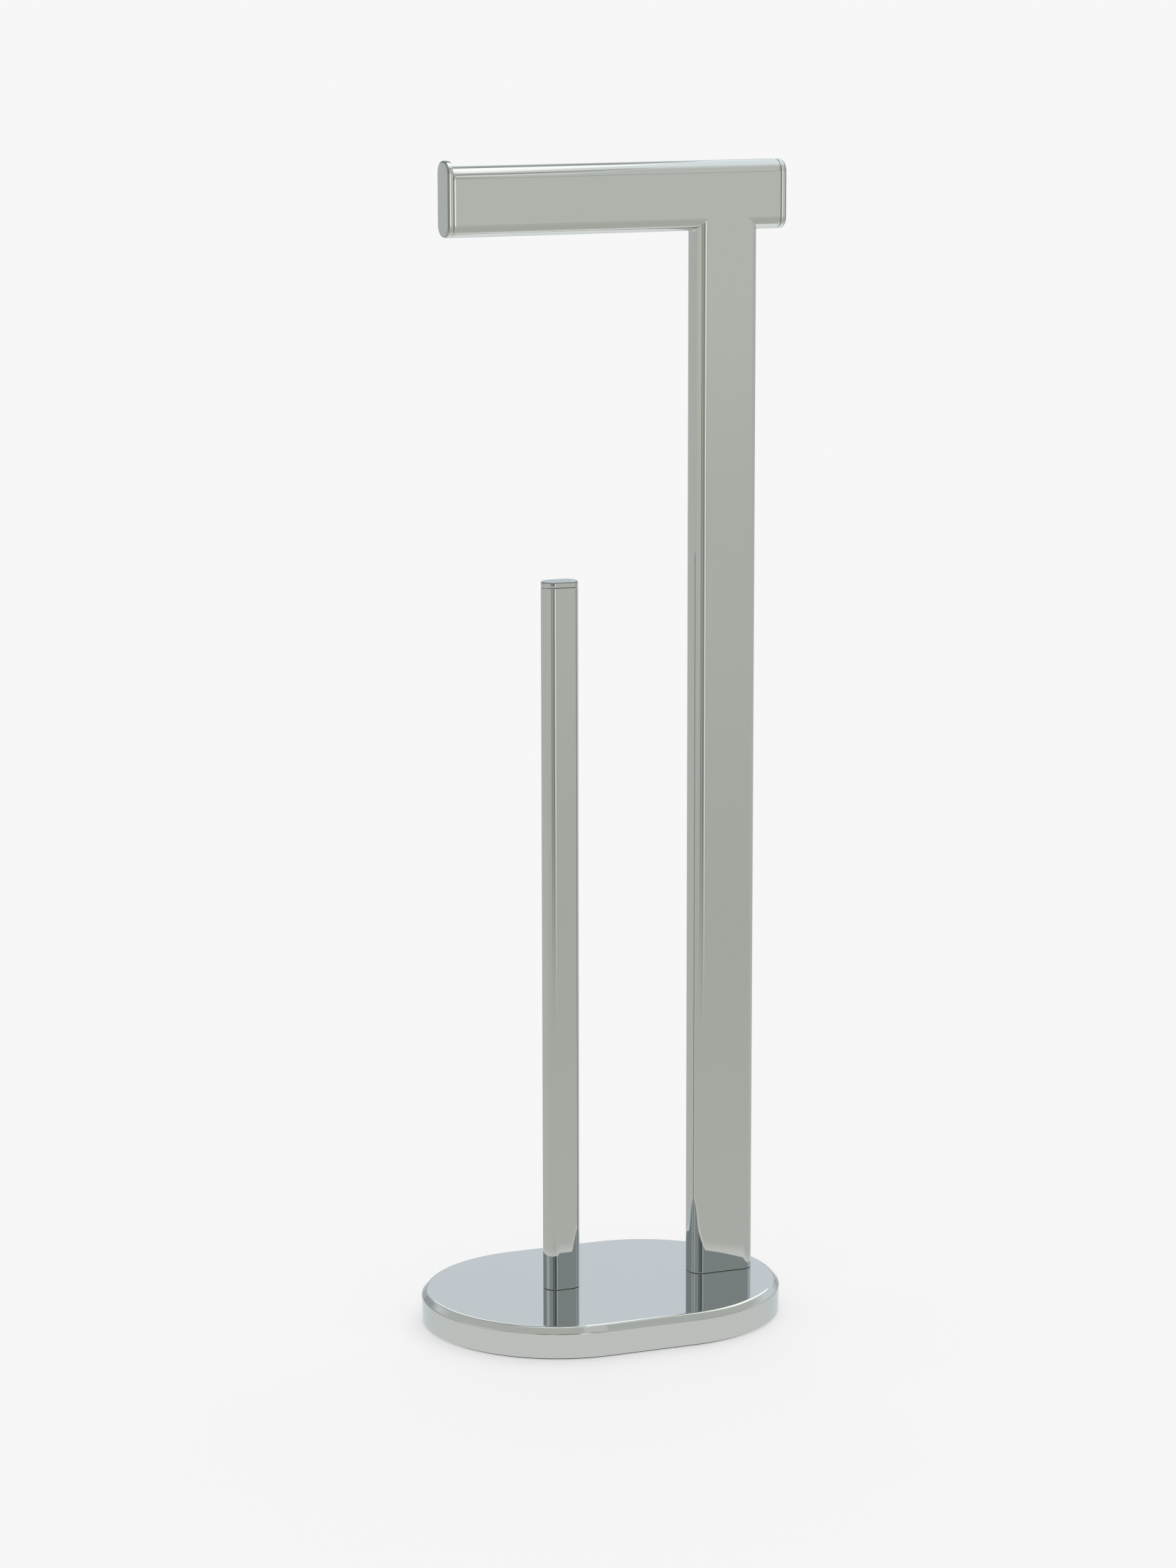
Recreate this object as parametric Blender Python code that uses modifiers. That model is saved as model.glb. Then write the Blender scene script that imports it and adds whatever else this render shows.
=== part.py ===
"""Free-standing toilet roll holder in polished chrome.

A weighted, pill-shaped base carries a tall upright of flat-oval tube with a roll arm across its top,
and a shorter post for spare rolls. Lengths are in metres and angles in radians. +Z is up, X runs
along the arm, and the origin is the centre of the base's underside.
"""

import math
from dataclasses import dataclass

import bmesh
import bpy
from mathutils import Matrix

# Overall sizes
HEIGHT = 0.600  # floor to the top of the roll arm
ARM_LENGTH = 0.1834  # over both end caps
ARM_OVERHANG = 0.0148  # how far the arm passes the upright's right side
UPRIGHT_INSET = 0.0284  # base's right end to the upright's axis
POST_SPACING = 0.0895  # upright's axis to the spare post's axis
POST_HEIGHT = 0.373  # base's top to the top of the spare post's cap

# Fits between neighbouring pieces
TOUCH_GAP = 0.0003  # pieces that rest on or against each other
THREAD_GAP = 0.0003  # screw thread to tapped hole
SCREW_CLEARANCE = 0.0004  # screw shank to a plain hole
OVERRUN = 0.002  # how far a cutter passes the face that it opens

# Flat-oval tube of the upright and the arm, with a narrow flat down each end of its section
TUBE_WIDTH = 0.0350
TUBE_DEPTH = 0.0160
TUBE_CORNER = 0.0065
TUBE_WALL = 0.0012

# Flat-oval tube of the spare post, with half-round ends to its section
POST_WIDTH = 0.0195
POST_DEPTH = 0.0125
POST_WALL = 0.0012

# Base cover, a drawn shell with a bevelled rim
BASE_LENGTH = 0.191
BASE_DEPTH = 0.143
BASE_HEIGHT = 0.017  # floor to the cover's top
COVER_WALL = 0.0012
COVER_BEVEL = 0.0030
COVER_EDGE_ROUND = 0.0005

# Anti-slip pad, which keeps the cover's rim clear of the floor
PAD_THICKNESS = 0.0030
PAD_SHOWING = 0.0010
PAD_SIDE_CLEARANCE = 0.0006
PAD_EDGE_ROUND = 0.0005
PAD_HOLE_MARGIN = 0.0006  # pad hole past the screw pocket above it

# Cast ballast, flat on top, pocketed between ribs underneath
BALLAST_SIDE_CLEARANCE = 0.0006
BALLAST_EDGE_CHAMFER = 0.0008
BALLAST_RIM_WIDTH = 0.0080
BALLAST_POCKET_DEPTH = 0.0060
BALLAST_RIB_WIDTH = 0.0050
BALLAST_BOSS_WALL = 0.0040
BALLAST_SEAT_WEB = 0.0040  # iron left above a screw pocket

# End caps, with a plug in the tube's bore
CAP_THICKNESS = 0.0030
CAP_FACE_ROUND = 0.0011
CAP_SEAM_ROUND = 0.0003
LIP_HEIGHT = 0.0030  # how far the lip stands above the arm
POST_CAP_ROUND = 0.0007
PLUG_LENGTH = 0.0110
PLUG_WALL = 0.0016
PLUG_RELIEF = 0.0010  # plug's skin to the bore
RIB_WIDTH = 0.0012
RIB_RUN_OUT = 0.0020  # rib stops short of the plug's end
RIB_ROOT = 0.0005  # how deep a rib starts inside the plug's skin

# Foot blocks inside the lower ends of the tubes
FOOT_HEIGHT = 0.0180
FOOT_CHAMFER = 0.0010
UPRIGHT_SCREW_SPACING = 0.0170
PEG_DIAMETER = 0.0030  # keeps the spare post from turning on its one screw
PEG_OFFSET = 0.0060
PEG_DEPTH = 0.0025  # into the ballast
PEG_CLEARANCE = 0.0003

# M6 fixing of the upright: button-head socket screw, split lock washer and flat washer
M6_THREAD = 0.0060
M6_LENGTH = 0.0200
M6_HEAD = 0.0105
M6_HEAD_HEIGHT = 0.0033
M6_SOCKET = 0.0040
M6_WASHER = 0.0120
M6_WASHER_THICKNESS = 0.0016
M6_LOCK_WASHER = 0.0112
M6_LOCK_WASHER_THICKNESS = 0.0016
M6_POCKET = 0.0136  # screw pocket in the ballast

# M5 fixing of the spare post
M5_THREAD = 0.0050
M5_LENGTH = 0.0200
M5_HEAD = 0.0095
M5_HEAD_HEIGHT = 0.0028
M5_SOCKET = 0.0030
M5_WASHER = 0.0100
M5_WASHER_THICKNESS = 0.0012
M5_LOCK_WASHER = 0.0092
M5_LOCK_WASHER_THICKNESS = 0.0012
M5_POCKET = 0.0116

# Forms that every screw or washer shares, as shares of its own size
SCREW_TIP_SHARE = 0.14  # tip chamfer, of the thread
HEAD_EDGE_SHARE = 0.18  # straight edge under the dome, of the head's height
HEAD_FLAT_SHARE = 0.60  # flat round the socket, of the head's radius
SOCKET_DEPTH_SHARE = 0.60  # of the head's height
LOCK_SLIT_SHARE = 0.55  # slit of a lock washer, of its thickness
LOCK_SLIT_TURN = math.radians(24)
WASHER_CHAMFER_SHARE = 0.12  # of the thickness

# Where the ballast's cross ribs stand, as shares of half its length
CROSS_RIB_SHARES = (-0.62, 0.22)

# How finely the round forms are faceted
BASE_STEPS = 36  # in each half-round end of the base
TUBE_STEPS = 16  # in the two corners of each end of a tube's section
PLUG_STEPS = 8  # in the two corners of each end of a cap's plug
HOLE_SIDES = 24
SCREW_SIDES = 24
DOME_STEPS = 5
SOCKET_SIDES = 6
EDGE_SEGMENTS = 2
CAP_SEGMENTS = 3
SHARP_ANGLE = math.radians(32)
FLAT_ANGLE = math.radians(0.5)
WELD_DISTANCE = 1e-6
AXIS_MERGE = 1e-5

# Places worked out from the sizes
UPRIGHT_X = BASE_LENGTH / 2 - UPRIGHT_INSET
POST_X = UPRIGHT_X - POST_SPACING
ARM_AXIS_Z = HEIGHT - TUBE_WIDTH / 2
ARM_RIGHT_X = UPRIGHT_X + TUBE_WIDTH / 2 + ARM_OVERHANG
ARM_LEFT_X = ARM_RIGHT_X - ARM_LENGTH
POST_TOP_Z = BASE_HEIGHT + POST_HEIGHT
STANDING_Z = BASE_HEIGHT + TOUCH_GAP
BALLAST_BOTTOM_Z = PAD_THICKNESS + TOUCH_GAP
BALLAST_TOP_Z = BASE_HEIGHT - COVER_WALL - TOUCH_GAP
SEAT_Z = BALLAST_TOP_Z - BALLAST_SEAT_WEB

# The ballast's top chamfer runs a touching gap inside the sheet under the cover's bevel
BALLAST_TOP_CHAMFER = max(
    BALLAST_EDGE_CHAMFER,
    COVER_BEVEL
    + math.sqrt(2) * (COVER_WALL + TOUCH_GAP)
    - 2 * COVER_WALL
    - TOUCH_GAP
    - BALLAST_SIDE_CLEARANCE,
)

UPRIGHT_SCREWS = {
    "left": UPRIGHT_X - UPRIGHT_SCREW_SPACING / 2,
    "right": UPRIGHT_X + UPRIGHT_SCREW_SPACING / 2,
}


@dataclass(frozen=True)
class Fixing:
    """One size of screw with its two washers and the pocket that holds them."""

    thread: float
    length: float
    head: float
    head_height: float
    socket: float
    washer: float
    washer_thickness: float
    lock_washer: float
    lock_thickness: float
    pocket: float


M6 = Fixing(
    thread=M6_THREAD,
    length=M6_LENGTH,
    head=M6_HEAD,
    head_height=M6_HEAD_HEIGHT,
    socket=M6_SOCKET,
    washer=M6_WASHER,
    washer_thickness=M6_WASHER_THICKNESS,
    lock_washer=M6_LOCK_WASHER,
    lock_thickness=M6_LOCK_WASHER_THICKNESS,
    pocket=M6_POCKET,
)
M5 = Fixing(
    thread=M5_THREAD,
    length=M5_LENGTH,
    head=M5_HEAD,
    head_height=M5_HEAD_HEIGHT,
    socket=M5_SOCKET,
    washer=M5_WASHER,
    washer_thickness=M5_WASHER_THICKNESS,
    lock_washer=M5_LOCK_WASHER,
    lock_thickness=M5_LOCK_WASHER_THICKNESS,
    pocket=M5_POCKET,
)


@dataclass(frozen=True)
class Section:
    """Cross-section of a flat-oval tube."""

    width: float
    depth: float
    corner: float
    wall: float

    def outline(self, inset, steps, lip=0):
        """Outline drawn in by a distance, with an optional lip on one side of the first axis."""
        width = self.width - 2 * inset + lip
        return flat_oval(width, self.depth - 2 * inset, steps, -lip / 2, self.corner - inset)


TUBE = Section(width=TUBE_WIDTH, depth=TUBE_DEPTH, corner=TUBE_CORNER, wall=TUBE_WALL)
POST = Section(width=POST_WIDTH, depth=POST_DEPTH, corner=POST_DEPTH / 2, wall=POST_WALL)


# The scene, its collections and its finishes


def clear_scene():
    """Remove every object that the scene starts with."""
    for obj in list(bpy.data.objects):
        bpy.data.objects.remove(obj, do_unlink=True)


def new_collection(name):
    """Add a collection to the scene."""
    collection = bpy.data.collections.new(name)
    bpy.context.scene.collection.children.link(collection)
    return collection


def new_finish(name, colour, metallic, roughness):
    """Make a Principled material."""
    material = bpy.data.materials.new(name)
    material.use_nodes = True
    shader = material.node_tree.nodes["Principled BSDF"]
    shader.inputs["Base Color"].default_value = (*colour, 1.0)
    shader.inputs["Metallic"].default_value = metallic
    shader.inputs["Roughness"].default_value = roughness
    return material


def new_shading():
    """Make the modifier group that shades faces smooth and keeps the sharp edges crisp."""
    group = bpy.data.node_groups.new("shade_by_angle", "GeometryNodeTree")
    group.interface.new_socket("Geometry", in_out="INPUT", socket_type="NodeSocketGeometry")
    group.interface.new_socket("Geometry", in_out="OUTPUT", socket_type="NodeSocketGeometry")
    nodes = group.nodes
    inlet = nodes.new("NodeGroupInput")
    outlet = nodes.new("NodeGroupOutput")
    angle = nodes.new("GeometryNodeInputMeshEdgeAngle")
    soft = nodes.new("FunctionNodeCompare")
    soft.operation = "LESS_EQUAL"
    soft.inputs["B"].default_value = SHARP_ANGLE
    faces = nodes.new("GeometryNodeSetShadeSmooth")
    edges = nodes.new("GeometryNodeSetShadeSmooth")
    edges.domain = "EDGE"
    group.links.new(inlet.outputs[0], faces.inputs["Geometry"])
    group.links.new(faces.outputs["Geometry"], edges.inputs["Geometry"])
    group.links.new(angle.outputs["Unsigned Angle"], soft.inputs["A"])
    group.links.new(soft.outputs["Result"], edges.inputs["Shade Smooth"])
    group.links.new(edges.outputs["Geometry"], outlet.inputs[0])
    return group


clear_scene()
PARTS = new_collection("toilet_roll_holder")
CUTTERS = new_collection("cutters")
SHADING = new_shading()
CHROME = new_finish("polished_chrome", (0.56, 0.57, 0.56), 1.0, 0.06)
CAST_IRON = new_finish("painted_cast_iron", (0.045, 0.045, 0.048), 0.0, 0.75)
FOAM = new_finish("black_foam", (0.018, 0.018, 0.019), 0.0, 0.90)
BARE_STEEL = new_finish("bare_steel", (0.42, 0.41, 0.40), 1.0, 0.38)
ZINC_PLATE = new_finish("zinc_plate", (0.62, 0.63, 0.65), 1.0, 0.28)


# Building blocks


def add_object(name, mesh, finish=None):
    """Add a mesh as a part, or as a cutter when it has no finish."""
    obj = bpy.data.objects.new(name, mesh)
    if finish is None:
        CUTTERS.objects.link(obj)
        obj.hide_render = True
        obj.display_type = "WIRE"
    else:
        PARTS.objects.link(obj)
        mesh.materials.append(finish)
    return obj


def flat_oval(width, depth, steps, shift=0, corner=None):
    """Outline with straight sides along the first axis and rounded ends, anticlockwise.

    The ends are half-rounds, unless a smaller corner leaves a flat between its two rounds.
    """
    radius = corner or depth / 2
    flat = depth / 2 - radius
    points = []
    for turn, (side, end) in enumerate(((1, -1), (1, 1), (-1, 1), (-1, -1))):
        meets_last = turn % 2 and flat < WELD_DISTANCE
        for step in range(1 if meets_last else 0, steps // 2 + 1):
            angle = math.pi / 2 * (turn - 1) + math.pi * step / steps
            x = side * (width / 2 - radius) + math.cos(angle) * radius
            points.append((shift + x, end * flat + math.sin(angle) * radius))
    return points


def circle(radius, centre_x=0):
    """Round outline, anticlockwise."""
    turns = [math.tau * side / HOLE_SIDES for side in range(HOLE_SIDES)]
    return [(centre_x + radius * math.cos(turn), radius * math.sin(turn)) for turn in turns]


def extruded(name, outlines, low, high, finish=None):
    """Solid between two heights from an outer outline, and holes where others lie inside it."""
    curve = bpy.data.curves.new(name, "CURVE")
    curve.dimensions = "2D"
    curve.fill_mode = "BOTH"
    curve.extrude = (high - low) / 2
    for outline in outlines:
        spline = curve.splines.new("POLY")
        spline.points.add(len(outline) - 1)
        for point, (x, y) in zip(spline.points, outline):
            point.co = (x, y, 0, 1)
        spline.use_cyclic_u = True
    drawing = bpy.data.objects.new(name, curve)
    CUTTERS.objects.link(drawing)
    graph = bpy.context.evaluated_depsgraph_get()
    mesh = bpy.data.meshes.new_from_object(drawing.evaluated_get(graph))
    bpy.data.objects.remove(drawing, do_unlink=True)
    bpy.data.curves.remove(curve)
    mesh.materials.clear()
    body = bmesh.new()
    body.from_mesh(mesh)
    bmesh.ops.remove_doubles(body, verts=body.verts, dist=WELD_DISTANCE)
    if len(outlines) == 1:
        bmesh.ops.dissolve_limit(body, angle_limit=FLAT_ANGLE, verts=[], edges=body.edges)
    bmesh.ops.translate(body, verts=body.verts, vec=(0, 0, (low + high) / 2))
    bmesh.ops.recalc_face_normals(body, faces=body.faces)
    body.to_mesh(mesh)
    body.free()
    return add_object(name, mesh, finish)


def turned(name, profile, finish, ring=False):
    """Solid of revolution from a profile that runs down its outer side."""
    mesh = bpy.data.meshes.new(name)
    body = bmesh.new()
    points = [body.verts.new((radius, 0, height)) for radius, height in profile]
    for start, end in zip(points, points[1:]):
        body.edges.new((start, end))
    if ring:
        body.edges.new((points[-1], points[0]))
    body.to_mesh(mesh)
    body.free()
    obj = add_object(name, mesh, finish)
    screw = obj.modifiers.new("turn", "SCREW")
    screw.axis = "Z"
    screw.steps = SCREW_SIDES
    screw.render_steps = SCREW_SIDES
    screw.use_merge_vertices = True
    screw.merge_threshold = AXIS_MERGE
    return obj


def blocks(name, sizes_and_centres):
    """One tool that holds a box for each size and centre."""
    mesh = bpy.data.meshes.new(name)
    body = bmesh.new()
    for size, centre in sizes_and_centres:
        place = Matrix.Translation(centre) @ Matrix.Diagonal((*size, 1))
        bmesh.ops.create_cube(body, size=1, matrix=place)
    body.to_mesh(mesh)
    body.free()
    return add_object(name, mesh)


def combine(obj, tool, operation):
    """Cut, or join on, another object's shape."""
    boolean = obj.modifiers.new(operation.lower() + "_" + tool.name, "BOOLEAN")
    boolean.operation = operation
    boolean.object = tool


def round_edges(obj, width, segments, weighted=False):
    """Round the sharp edges, or only those that carry a bevel weight."""
    bevel = obj.modifiers.new("round_edges", "BEVEL")
    bevel.width = width
    bevel.segments = segments
    bevel.limit_method = "WEIGHT" if weighted else "ANGLE"
    bevel.angle_limit = SHARP_ANGLE
    bevel.use_clamp_overlap = True


def weigh_rim(obj, height, weight):
    """Give the edges of the flat end at this height a bevel weight."""
    body = bmesh.new()
    body.from_mesh(obj.data)
    layer = body.edges.layers.float.get("bevel_weight_edge")
    layer = layer or body.edges.layers.float.new("bevel_weight_edge")
    for edge in body.edges:
        level = all(abs(vert.co.z - height) < WELD_DISTANCE for vert in edge.verts)
        if level and edge.calc_face_angle(0) > SHARP_ANGLE:
            edge[layer] = weight
    body.to_mesh(obj.data)
    body.free()


def shade(obj):
    """Shade the finished form smooth, with crisp edges."""
    modifier = obj.modifiers.new("shade_by_angle", "NODES")
    modifier.node_group = SHADING


def lay_along_arm(obj, x, faces_left=False):
    """Turn a piece drawn along Z so that it runs along the arm, its first axis downwards."""
    obj.rotation_euler = (0, math.pi / 2, math.pi if faces_left else 0)
    obj.location = (x, 0, ARM_AXIS_Z)


# Base


def base_cover():
    """Drawn steel shell: flat top, bevelled rim and side wall, open underneath."""
    mesh = bpy.data.meshes.new("base_cover")
    body = bmesh.new()
    shoulder = BASE_HEIGHT - COVER_BEVEL
    outline = flat_oval(BASE_LENGTH, BASE_DEPTH, BASE_STEPS)
    top = body.faces.new([body.verts.new((x, y, shoulder)) for x, y in outline])
    skirt = bmesh.ops.extrude_edge_only(body, edges=list(body.edges))
    lowered = [item for item in skirt["geom"] if isinstance(item, bmesh.types.BMVert)]
    bmesh.ops.translate(body, verts=lowered, vec=(0, 0, PAD_SHOWING - shoulder))
    bmesh.ops.inset_region(
        body, faces=[top], thickness=COVER_BEVEL, depth=COVER_BEVEL, use_even_offset=True
    )
    bmesh.ops.recalc_face_normals(body, faces=body.faces)
    if top.normal.z < 0:
        bmesh.ops.reverse_faces(body, faces=body.faces)
    body.to_mesh(mesh)
    body.free()
    obj = add_object("base_cover", mesh, CHROME)
    round_edges(obj, COVER_EDGE_ROUND, EDGE_SEGMENTS)
    shell = obj.modifiers.new("sheet", "SOLIDIFY")
    shell.thickness = COVER_WALL
    shell.offset = -1
    shell.use_even_offset = True
    sheet_low = BASE_HEIGHT - COVER_WALL - OVERRUN
    holes = [circle(M6.thread / 2 + SCREW_CLEARANCE, x) for x in UPRIGHT_SCREWS.values()]
    holes.append(circle(M5.thread / 2 + SCREW_CLEARANCE, POST_X))
    holes.append(circle(PEG_DIAMETER / 2 + PEG_CLEARANCE, POST_X - PEG_OFFSET))
    tool = extruded("cover_screw_holes", holes, sheet_low, BASE_HEIGHT + OVERRUN)
    combine(obj, tool, "DIFFERENCE")
    shade(obj)


def ballast_outline(inset):
    """Outline of the ballast, drawn in by a distance."""
    margin = 2 * (COVER_WALL + BALLAST_SIDE_CLEARANCE + inset)
    return flat_oval(BASE_LENGTH - margin, BASE_DEPTH - margin, BASE_STEPS)


def ballast_pockets():
    """Cutter for the hollows underneath, between the rim, the ribs and the screw bosses."""
    low = BALLAST_BOTTOM_Z - OVERRUN
    high = BALLAST_BOTTOM_Z + BALLAST_POCKET_DEPTH
    tool = extruded("ballast_pockets", [ballast_outline(BALLAST_RIM_WIDTH)], low, high)
    middle_z = (low + high) / 2
    tall = high - low + 2 * OVERRUN
    long_rib = ((BASE_LENGTH, BALLAST_RIB_WIDTH, tall), (0, 0, middle_z))
    places = [share * BASE_LENGTH / 2 for share in CROSS_RIB_SHARES]
    ribs = [((BALLAST_RIB_WIDTH, BASE_DEPTH, tall), (x, 0, middle_z)) for x in places]
    combine(tool, blocks("ballast_long_rib", [long_rib]), "DIFFERENCE")
    combine(tool, blocks("ballast_cross_ribs", ribs), "DIFFERENCE")
    post_boss = circle(M5.pocket / 2 + BALLAST_BOSS_WALL, POST_X)
    boss_depth = M6.pocket + 2 * BALLAST_BOSS_WALL
    boss_width = boss_depth + UPRIGHT_SCREW_SPACING
    upright_boss = flat_oval(boss_width, boss_depth, TUBE_STEPS, UPRIGHT_X)
    for name, outline in (("post_boss", post_boss), ("upright_boss", upright_boss)):
        boss = extruded(name, [outline], low - OVERRUN, high + OVERRUN)
        combine(tool, boss, "DIFFERENCE")
    return tool


def base_ballast():
    """Cast-iron weight that fills the shell and takes the clamping of the screws."""
    obj = extruded(
        "base_ballast", [ballast_outline(0)], BALLAST_BOTTOM_Z, BALLAST_TOP_Z, CAST_IRON
    )
    weigh_rim(obj, BALLAST_TOP_Z, 1)
    weigh_rim(obj, BALLAST_BOTTOM_Z, BALLAST_EDGE_CHAMFER / BALLAST_TOP_CHAMFER)
    round_edges(obj, BALLAST_TOP_CHAMFER, 1, weighted=True)
    combine(obj, ballast_pockets(), "DIFFERENCE")
    below = BALLAST_BOTTOM_Z - OVERRUN
    above = BALLAST_TOP_Z + OVERRUN
    pockets = [circle(M6.pocket / 2, x) for x in UPRIGHT_SCREWS.values()]
    pockets.append(circle(M5.pocket / 2, POST_X))
    combine(obj, extruded("screw_pockets", pockets, below, SEAT_Z), "DIFFERENCE")
    holes = [circle(M6.thread / 2 + SCREW_CLEARANCE, x) for x in UPRIGHT_SCREWS.values()]
    holes.append(circle(M5.thread / 2 + SCREW_CLEARANCE, POST_X))
    combine(obj, extruded("screw_holes", holes, below, above), "DIFFERENCE")
    peg_hole = circle(PEG_DIAMETER / 2 + PEG_CLEARANCE, POST_X - PEG_OFFSET)
    peg_floor = BALLAST_TOP_Z - PEG_DEPTH - TOUCH_GAP
    combine(obj, extruded("peg_hole", [peg_hole], peg_floor, above), "DIFFERENCE")
    shade(obj)


def base_pad():
    """Foam sheet under the ballast, open below each screw."""
    margin = 2 * (COVER_WALL + PAD_SIDE_CLEARANCE)
    outline = flat_oval(BASE_LENGTH - margin, BASE_DEPTH - margin, BASE_STEPS)
    obj = extruded("base_pad", [outline], 0, PAD_THICKNESS, FOAM)
    round_edges(obj, PAD_EDGE_ROUND, EDGE_SEGMENTS)
    slot_depth = M6.pocket + 2 * PAD_HOLE_MARGIN
    slot_width = slot_depth + UPRIGHT_SCREW_SPACING
    openings = [
        flat_oval(slot_width, slot_depth, TUBE_STEPS, UPRIGHT_X),
        circle(M5.pocket / 2 + PAD_HOLE_MARGIN, POST_X),
    ]
    tool = extruded("pad_openings", openings, -OVERRUN, PAD_THICKNESS + OVERRUN)
    combine(obj, tool, "DIFFERENCE")
    shade(obj)


# Tubes


def tube_outlines(section):
    """Outer and inner outline of a flat-oval tube."""
    return [section.outline(inset, TUBE_STEPS) for inset in (0, section.wall)]


def arm_tube():
    """Tube that the roll hangs on, its bore open at both ends."""
    outlines = tube_outlines(TUBE)
    half = ARM_LENGTH / 2 - CAP_THICKNESS - TOUCH_GAP
    obj = extruded("arm_tube", outlines, -half, half, CHROME)
    lay_along_arm(obj, (ARM_LEFT_X + ARM_RIGHT_X) / 2)
    shade(obj)


def upright_tube():
    """Tube whose top is fish-mouthed, so that its flat sides run on flush into the arm's.

    The cut is the arm's own flat oval, a touching gap larger all round. The tube stops level with
    the start of the arm's flat sides, which is as far as its own flat sides can follow the arm.
    """
    outlines = tube_outlines(TUBE)
    top = ARM_AXIS_Z - (TUBE_WIDTH / 2 - TUBE_CORNER)
    obj = extruded("upright_tube", outlines, STANDING_Z, top, CHROME)
    obj.location.x = UPRIGHT_X
    envelope = TUBE.outline(-TOUCH_GAP, TUBE_STEPS)
    fish_mouth = extruded("fish_mouth", [envelope], -TUBE_WIDTH, TUBE_WIDTH)
    lay_along_arm(fish_mouth, UPRIGHT_X)
    combine(obj, fish_mouth, "DIFFERENCE")
    shade(obj)


def spare_post_tube():
    """Tube that the spare rolls are stacked on."""
    outlines = tube_outlines(POST)
    top = POST_TOP_Z - CAP_THICKNESS - TOUCH_GAP
    obj = extruded("spare_post_tube", outlines, STANDING_Z, top, CHROME)
    obj.location.x = POST_X
    shade(obj)


# End caps


def plug_ribs(name, section, inset, base, tip):
    """Crush ribs round a plug: three on each flat side and one on each end."""
    width = section.width - 2 * inset
    depth = section.depth - 2 * inset
    reach = section.width / 2 - section.corner
    rise = PLUG_RELIEF - TOUCH_GAP
    height = rise + RIB_ROOT
    middle = (rise - RIB_ROOT) / 2
    centre_z = (base + tip) / 2
    length = abs(tip - base)
    ribs = []
    for side in (1, -1):
        for x in (-reach, 0, reach):
            centre = (x, side * (depth / 2 + middle), centre_z)
            ribs.append(((RIB_WIDTH, height, length), centre))
        centre = (side * (width / 2 + middle), 0, centre_z)
        ribs.append(((height, RIB_WIDTH, length), centre))
    return blocks(name, ribs)


def end_cap(name, section, face_round, lip=0):
    """Cast cap, drawn with its plug downwards and its face up, the seam at height zero.

    A lip carries the outline past the tube on the side of the first axis that ends up on top.
    """
    plate = section.outline(0, TUBE_STEPS, lip)
    obj = extruded(name, [plate], 0, CAP_THICKNESS, CHROME)
    weigh_rim(obj, CAP_THICKNESS, 1)
    weigh_rim(obj, 0, CAP_SEAM_ROUND / face_round)
    round_edges(obj, face_round, CAP_SEGMENTS, weighted=True)
    inset = section.wall + PLUG_RELIEF
    skin = [section.outline(inset + depth, PLUG_STEPS) for depth in (0, PLUG_WALL)]
    root = CAP_THICKNESS / 2
    plug = extruded(name + "_plug", skin, -PLUG_LENGTH, root)
    tip = RIB_RUN_OUT - PLUG_LENGTH
    ribs = plug_ribs(name + "_ribs", section, inset, root, tip)
    combine(plug, ribs, "UNION")
    combine(obj, plug, "UNION")
    shade(obj)
    return obj, plug, ribs


def arm_end_cap():
    """Flush cap on the arm's right end."""
    pieces = end_cap("arm_end_cap", TUBE, CAP_FACE_ROUND)
    for piece in pieces:
        lay_along_arm(piece, ARM_RIGHT_X - CAP_THICKNESS)


def arm_lip_cap():
    """Cap on the arm's free left end, with the lip that stops the roll."""
    pieces = end_cap("arm_lip_cap", TUBE, CAP_FACE_ROUND, LIP_HEIGHT)
    for piece in pieces:
        lay_along_arm(piece, ARM_LEFT_X + CAP_THICKNESS, faces_left=True)


def spare_post_cap():
    """Flush cap on the spare post."""
    pieces = end_cap("spare_post_cap", POST, POST_CAP_ROUND)
    for piece in pieces:
        piece.location = (POST_X, 0, POST_TOP_Z - CAP_THICKNESS)


# Foot blocks


def foot_block(name, section, x, fixing, hole_shifts):
    """Steel insert inside the lower end of a tube, with tapped holes."""
    outline = section.outline(section.wall + TOUCH_GAP, TUBE_STEPS)
    obj = extruded(name, [outline], STANDING_Z, STANDING_Z + FOOT_HEIGHT, BARE_STEEL)
    obj.location.x = x
    round_edges(obj, FOOT_CHAMFER, 1)
    radius = fixing.thread / 2 + THREAD_GAP
    tapped = [circle(radius, shift) for shift in hole_shifts]
    low = STANDING_Z - OVERRUN
    high = STANDING_Z + FOOT_HEIGHT + OVERRUN
    tool = extruded(name + "_tapped", tapped, low, high)
    tool.location.x = x
    combine(obj, tool, "DIFFERENCE")
    return obj


def upright_foot_block():
    """Insert that takes the upright's two screws."""
    shifts = (-UPRIGHT_SCREW_SPACING / 2, UPRIGHT_SCREW_SPACING / 2)
    obj = foot_block("upright_foot_block", TUBE, UPRIGHT_X, M6, shifts)
    shade(obj)


def spare_post_foot_block():
    """Insert that takes the post's screw, with a peg down into the ballast."""
    obj = foot_block("spare_post_foot_block", POST, POST_X, M5, (0,))
    low = BALLAST_TOP_Z - PEG_DEPTH
    high = STANDING_Z + FOOT_HEIGHT / 2
    peg = extruded("locating_peg", [circle(PEG_DIAMETER / 2, -PEG_OFFSET)], low, high)
    peg.location.x = POST_X
    combine(obj, peg, "UNION")
    shade(obj)


# Fasteners


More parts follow.
